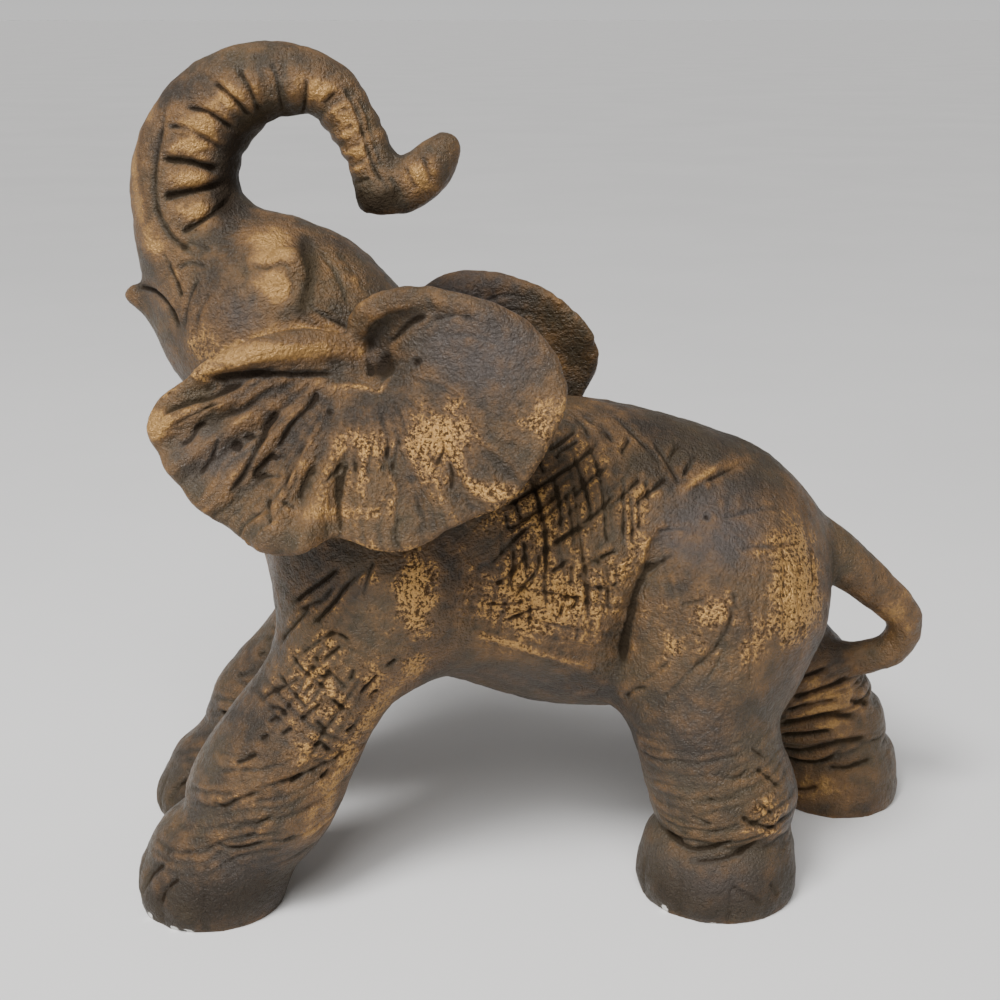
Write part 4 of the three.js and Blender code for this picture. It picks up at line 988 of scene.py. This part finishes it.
class Nodes:
    """Short ways to make and join the nodes of one material."""

    def __init__(self, name):
        self.material = bpy.data.materials.new(name)
        self.material.use_nodes = True
        self.tree = self.material.node_tree
        self.tree.nodes.clear()
        self.output = self.tree.nodes.new("ShaderNodeOutputMaterial")
        self.shader = self.tree.nodes.new("ShaderNodeBsdfPrincipled")
        self.tree.links.new(self.shader.outputs["BSDF"], self.output.inputs["Surface"])

    def put(self, socket, value):
        """Links a socket, or sets it when the value is plain."""
        if isinstance(value, bpy.types.NodeSocket):
            self.tree.links.new(value, socket)
        else:
            socket.default_value = value

    def attribute(self, name):
        node = self.tree.nodes.new("ShaderNodeAttribute")
        node.attribute_name = name
        return node.outputs["Fac"]

    def math(self, operation, first, second=0.0, third=0.0, clamped=False):
        node = self.tree.nodes.new("ShaderNodeMath")
        node.operation = operation
        node.use_clamp = clamped
        for socket, value in zip(node.inputs, (first, second, third)):
            self.put(socket, value)
        return node.outputs["Value"]

    def noise(self, place, scale, detail=4.0, roughness=0.6):
        node = self.tree.nodes.new("ShaderNodeTexNoise")
        node.inputs["Scale"].default_value = scale
        node.inputs["Detail"].default_value = detail
        node.inputs["Roughness"].default_value = roughness
        self.put(node.inputs["Vector"], place)
        return node.outputs["Fac"]

    def stretch(self, value, low, high, to_low=0.0, to_high=1.0):
        node = self.tree.nodes.new("ShaderNodeMapRange")
        node.interpolation_type = "SMOOTHSTEP"
        for name, number in (("From Min", low), ("From Max", high), ("To Min", to_low), ("To Max", to_high)):
            node.inputs[name].default_value = number
        self.put(node.inputs["Value"], value)
        return node.outputs["Result"]

    def mix(self, share, first, second):
        node = self.tree.nodes.new("ShaderNodeMix")
        node.data_type = "RGBA"
        self.put(node.inputs["Factor"], share)
        for name, value in (("A", first), ("B", second)):
            socket = [s for s in node.inputs if s.name == name and s.type == "RGBA"][0]
            self.put(socket, value)
        return [s for s in node.outputs if s.type == "RGBA"][0]


def patinated_cast(look):
    """Aged bronze paint: dark brown, grey-violet where it is bare, gold rubbed on the high parts, with
    painted highlights on the ears and the trunk's outer edge and painted shade in the creases and round the
    feet.
    """
    n = Nodes("patinated_cast")
    place = n.tree.nodes.new("ShaderNodeTexCoord").outputs["Object"]
    gold, grey, worn = n.attribute("gold"), n.attribute("grey"), n.attribute("worn")
    cut, dark, chip = n.attribute("cut"), n.attribute("dark"), n.attribute("chip")
    coarse = n.stretch(n.attribute("coarse"), 0.1, 0.7)
    broad = n.noise(place, MOTTLE_BROAD)
    middle = n.noise(place, MOTTLE_MIDDLE, detail=6.0)
    fine = n.noise(place, GRAIN_FINE, detail=3.0, roughness=0.7)
    speck = n.noise(place, GRAIN_SPECK, detail=3.0, roughness=0.7)

    base = n.mix(n.stretch(broad, 0.35, 0.65), tuple(look.dark), tuple(look.brown))
    violet = n.math("MULTIPLY_ADD", n.math("SUBTRACT", broad, 0.5), MOTTLE_GAIN, grey)
    base = n.mix(n.stretch(violet, 0.15, 0.9), base, tuple(look.grey))
    # Gold rubbed on the raised parts, with the painted highlights on the ears, the trunk's outer edge and
    # the ear's lower rim
    raised = n.math("MULTIPLY_ADD", worn, 0.5, gold)
    # Less gold where shade is painted
    raised = n.math("MULTIPLY", n.math("SUBTRACT", raised, n.math("MULTIPLY", dark, 0.8)), look.gold_amount)
    soft = n.math("MULTIPLY_ADD", n.math("SUBTRACT", middle, 0.5), GRAIN_GAIN, raised)
    grain = n.math("SUBTRACT", n.stretch(speck, 0.36, 0.64), 0.5)
    grain = n.math("MULTIPLY_ADD", n.math("SUBTRACT", fine, 0.5), GRAIN_GAIN, grain)
    grain = n.math("MULTIPLY", grain, n.stretch(soft, 0.05, 0.75, 0.14, 1.0))
    grain = n.math("MULTIPLY", grain, n.math("MULTIPLY_ADD", coarse, 0.82, 0.18))
    rubbed = n.math("MULTIPLY_ADD", grain, 0.95, soft)
    thin_gold = n.stretch(n.math("MULTIPLY_ADD", grain, 0.4, soft), -0.2, 0.8)
    bronze_share = n.math("MULTIPLY", thin_gold, BRONZE_COVER)
    cover = n.math("MULTIPLY_ADD", coarse, 0.35, 0.65)
    gold_share = n.math("MULTIPLY", n.stretch(rubbed, 0.5, 1.0), cover)
    colour = n.mix(bronze_share, base, tuple(look.bronze))
    colour = n.mix(gold_share, colour, tuple(look.gold))
    flecks = n.math("MULTIPLY", n.stretch(grain, -0.05, -0.5), 0.75)
    hollow_and_shade = n.math("ADD", n.stretch(worn, -0.2, -1.0), n.stretch(cut, 0.2, 1.1), clamped=True)
    # Painted shade: the dark bands of shade in the creases, inside the trunk's curl and round the feet take
    # the hollows' colour too
    hollow_and_shade = n.math("MAXIMUM", n.math("MULTIPLY", hollow_and_shade, 0.8), n.math("MAXIMUM", dark, flecks))
    colour = n.mix(n.math("MULTIPLY", hollow_and_shade, HOLLOW_COVER), colour, tuple(look.hollow_and_shade))
    ragged = n.math("MULTIPLY_ADD", n.math("SUBTRACT", middle, 0.5), GRAIN_GAIN, chip)
    broken = n.stretch(ragged, 0.45, 0.6)
    colour = n.mix(broken, colour, tuple(look.body))
    n.put(n.shader.inputs["Base Color"], colour)

    bright = n.math("MULTIPLY", gold_share, n.math("SUBTRACT", 1.0, broken))
    n.put(n.shader.inputs["Metallic"], n.math("MULTIPLY", bright, GOLD_SHINE))
    rough = n.math("MULTIPLY_ADD", hollow_and_shade, 0.25, n.stretch(fine, 0.3, 0.7, 0.32, 0.5))
    n.put(n.shader.inputs["Roughness"], n.math("MULTIPLY_ADD", broken, 0.3, rough))
    n.put(n.shader.inputs["Specular IOR Level"], n.stretch(hollow_and_shade, 0.0, 0.8, 0.36, 0.05))
    bump = n.tree.nodes.new("ShaderNodeBump")
    bump.inputs["Strength"].default_value = 1.0
    bump.inputs["Distance"].default_value = look.grain_depth
    n.put(bump.inputs["Height"], n.math("MULTIPLY_ADD", speck, 0.5, fine))
    n.put(n.shader.inputs["Normal"], bump.outputs["Normal"])
    return n.material


def pale_floor(stage):
    """A plain pale matt floor."""
    n = Nodes("pale_floor")
    place = n.tree.nodes.new("ShaderNodeTexCoord").outputs["Object"]
    tone = n.stretch(n.noise(place, FLOOR_MOTTLE), 0.3, 0.7)
    darker = [channel * FLOOR_DARKER for channel in stage.floor_colour[:3]]
    n.put(n.shader.inputs["Base Color"], n.mix(tone, (*darker, 1.0), tuple(stage.floor_colour)))
    n.shader.inputs["Roughness"].default_value = 0.9
    return n.material


def colour_property(name, description, default):
    return FloatVectorProperty(
        name=name, description=description, default=default, subtype="COLOR", size=4, min=0.0, max=1.0
    )


class FigurineLook(PropertyGroup):
    """Sizes and colours of the figurine's skin."""

    voxel: FloatProperty(
        name="Skin detail", description="Spacing of the carved skin", default=SKIN_VOXEL_SHARE * PERCENT,
        min=0.0002, unit="LENGTH", precision=5,
    )
    smoothing: IntProperty(
        name="Smoothing", description="Passes that even out the solid's facets", default=16, min=0
    )
    relief: FloatProperty(
        name="Relief", description="Share of the full depth of the carving", default=1.0, min=0.0,
        subtype="FACTOR",
    )
    triangles: IntProperty(
        name="Triangles", description="Most triangles in the carved skin", default=196000, min=1000
    )
    gold_amount: FloatProperty(
        name="Gold", description="How much gold is rubbed on the raised parts", default=1.0, min=0.0,
        subtype="FACTOR",
    )
    grain_depth: FloatProperty(
        name="Grain depth", description="Depth of the finest grain and wrinkles", default=0.0007, min=0.0,
        unit="LENGTH", precision=5,
    )
    dark: colour_property("Dark brown", "Darkest tone of the skin", (0.032, 0.023, 0.015, 1.0))
    brown: colour_property("Brown", "Lighter tone of the skin", (0.064, 0.046, 0.024, 1.0))
    grey: colour_property("Grey violet", "Bare places", (0.060, 0.048, 0.041, 1.0))
    bronze: colour_property("Bronze", "Thin gold over brown", (0.180, 0.094, 0.034, 1.0))
    gold: colour_property("Gold", "Gold on the raised parts", (0.50, 0.29, 0.10, 1.0))
    # The hollows' colour also paints shade in the creases, inside the trunk's curl and round the feet
    hollow_and_shade: colour_property("Hollows", "Dirt in the cuts", (0.016, 0.011, 0.008, 1.0))
    body: colour_property("Chips", "White body under the paint", (0.8, 0.78, 0.74, 1.0))


class StageLook(PropertyGroup):
    """The floor, the lights and the camera."""

    floor_colour: colour_property("Floor", "Colour of the floor", (0.82, 0.81, 0.8, 1.0))
    floor_size: FloatProperty(
        name="Floor size", description="Side of the square floor", default=60.0, min=0.5, unit="LENGTH"
    )
    sun_strength: FloatProperty(
        name="Window light", description="Strength of the even light from above", default=2.4, min=0.0
    )
    sun_softness: FloatProperty(
        name="Window softness", description="Angle that the even light seems to fill",
        default=math.radians(40), min=0.0, subtype="ANGLE",
    )
    key_power: FloatProperty(
        name="Key light", description="Power of the near soft light", default=4.0, min=0.0,
        unit="POWER",
    )
    sky: FloatProperty(name="Surround", description="Strength of the pale surround", default=0.32, min=0.0)
    skyline: FloatProperty(
        name="Skyline", description="Strength of the surround where it meets the floor", default=0.86,
        min=0.0,
    )
    lens: FloatProperty(
        name="Lens", description="Focal length on a 36 mm sensor", default=57.6, min=10.0, unit="CAMERA"
    )


class FIGURINE_OT_elephant(Operator):
    """Carve and patinate the elephant"""

    bl_idname = "figurine.elephant"
    bl_label = "Elephant"

    def execute(self, context):
        look = context.scene.figurine_look
        piece = base_skin("carved_elephant", look.voxel, look.smoothing)
        carve(piece, look.relief)
        patina(piece)
        lighten(piece, look.triangles)
        mesh = piece.data
        mesh.polygons.foreach_set("use_smooth", np.ones(len(mesh.polygons), dtype=bool))
        mesh.materials.clear()
        mesh.materials.append(patinated_cast(look))
        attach(piece, "root")
        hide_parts(NODE)
        return {"FINISHED"}


def soft_light(name, place, aim, size, power):
    """A square soft light at a place, pointed at another."""
    lamp = bpy.data.lights.new(name, "AREA")
    lamp.size = size
    lamp.energy = power
    holder = bpy.data.objects.new(name, lamp)
    holder.location = place
    away = np.array(place) - np.array(aim)
    flat_distance = math.hypot(away[0], away[1])
    holder.rotation_euler = (math.atan2(flat_distance, away[2]), 0.0, math.atan2(away[0], -away[1]))
    bpy.context.scene.collection.objects.link(holder)


def pale_surround(stage):
    """An even pale surround that is as light as the floor along the skyline."""
    world = bpy.data.worlds.new("surround")
    world.use_nodes = True
    tree = world.node_tree
    background = tree.nodes["Background"]
    background.inputs["Color"].default_value = SURROUND_COLOUR
    direction = tree.nodes.new("ShaderNodeTexCoord")
    split = tree.nodes.new("ShaderNodeSeparateXYZ")
    fade = tree.nodes.new("ShaderNodeMapRange")
    for name, number in (("From Max", SKYLINE_FADE), ("To Min", stage.skyline), ("To Max", stage.sky)):
        fade.inputs[name].default_value = number
    tree.links.new(direction.outputs["Generated"], split.inputs["Vector"])
    tree.links.new(split.outputs["Z"], fade.inputs["Value"])
    tree.links.new(fade.outputs["Result"], background.inputs["Strength"])
    return world


class FIGURINE_OT_stage(Operator):
    """Set out the floor, the lights and the camera"""

    bl_idname = "figurine.stage"
    bl_label = "Stage"

    def execute(self, context):
        stage = context.scene.stage_look
        half = stage.floor_size / 2
        mesh = bpy.data.meshes.new("floor")
        corners = [(-half, -half, 0.0), (half, -half, 0.0), (half, half, 0.0), (-half, half, 0.0)]
        mesh.from_pydata(corners, [], [(0, 1, 2, 3)])
        mesh.materials.append(pale_floor(stage))
        floor = bpy.data.objects.new("floor", mesh)
        context.scene.collection.objects.link(floor)

        context.scene.world = pale_surround(stage)
        height = PERCENT * 100
        aim = (0.0, 0.0, height / 2)
        soft_light("key", KEY_PLACE, aim, KEY_SIZE, stage.key_power)
        window = bpy.data.lights.new("window", "SUN")
        window.energy = stage.sun_strength
        window.angle = stage.sun_softness
        holder = bpy.data.objects.new("window", window)
        holder.rotation_euler = (math.radians(WINDOW_TILT), 0.0, math.radians(WINDOW_TURN))
        context.scene.collection.objects.link(holder)

        camera = bpy.data.cameras.new("camera")
        camera.lens = stage.lens
        camera.sensor_width = CAMERA_SENSOR_MM
        camera.clip_start = CAMERA_NEAREST
        holder = bpy.data.objects.new("camera", camera)
        holder.location = CAMERA_PLACE
        holder.rotation_euler = (math.radians(90 - CAMERA_TILT), 0.0, math.radians(CAMERA_TURN))
        context.scene.collection.objects.link(holder)
        context.scene.camera = holder
        return {"FINISHED"}


class FIGURINE_PT_panel(Panel):
    """The figurine's pieces and their values"""

    bl_idname = "FIGURINE_PT_panel"
    bl_label = "Elephant Figurine"
    bl_space_type = "VIEW_3D"
    bl_region_type = "UI"
    bl_category = "Figurine"

    def draw(self, context):
        layout = self.layout
        for operator, group in ((FIGURINE_OT_elephant, "figurine_look"), (FIGURINE_OT_stage, "stage_look")):
            box = layout.box()
            box.operator(operator.bl_idname)
            values = getattr(context.scene, group)
            for name in type(values).__annotations__:
                box.prop(values, name)


CLASSES = (FigurineLook, StageLook, FIGURINE_OT_elephant, FIGURINE_OT_stage, FIGURINE_PT_panel)


def register():
    for item in CLASSES:
        bpy.utils.register_class(item)
    bpy.types.Scene.figurine_look = PointerProperty(type=FigurineLook)
    bpy.types.Scene.stage_look = PointerProperty(type=StageLook)


def unregister():
    del bpy.types.Scene.stage_look
    del bpy.types.Scene.figurine_look
    for item in reversed(CLASSES):
        bpy.utils.unregister_class(item)


def main():
    register()
    bpy.ops.figurine.elephant()
    bpy.ops.figurine.stage()


if __name__ == "__main__":
    main()
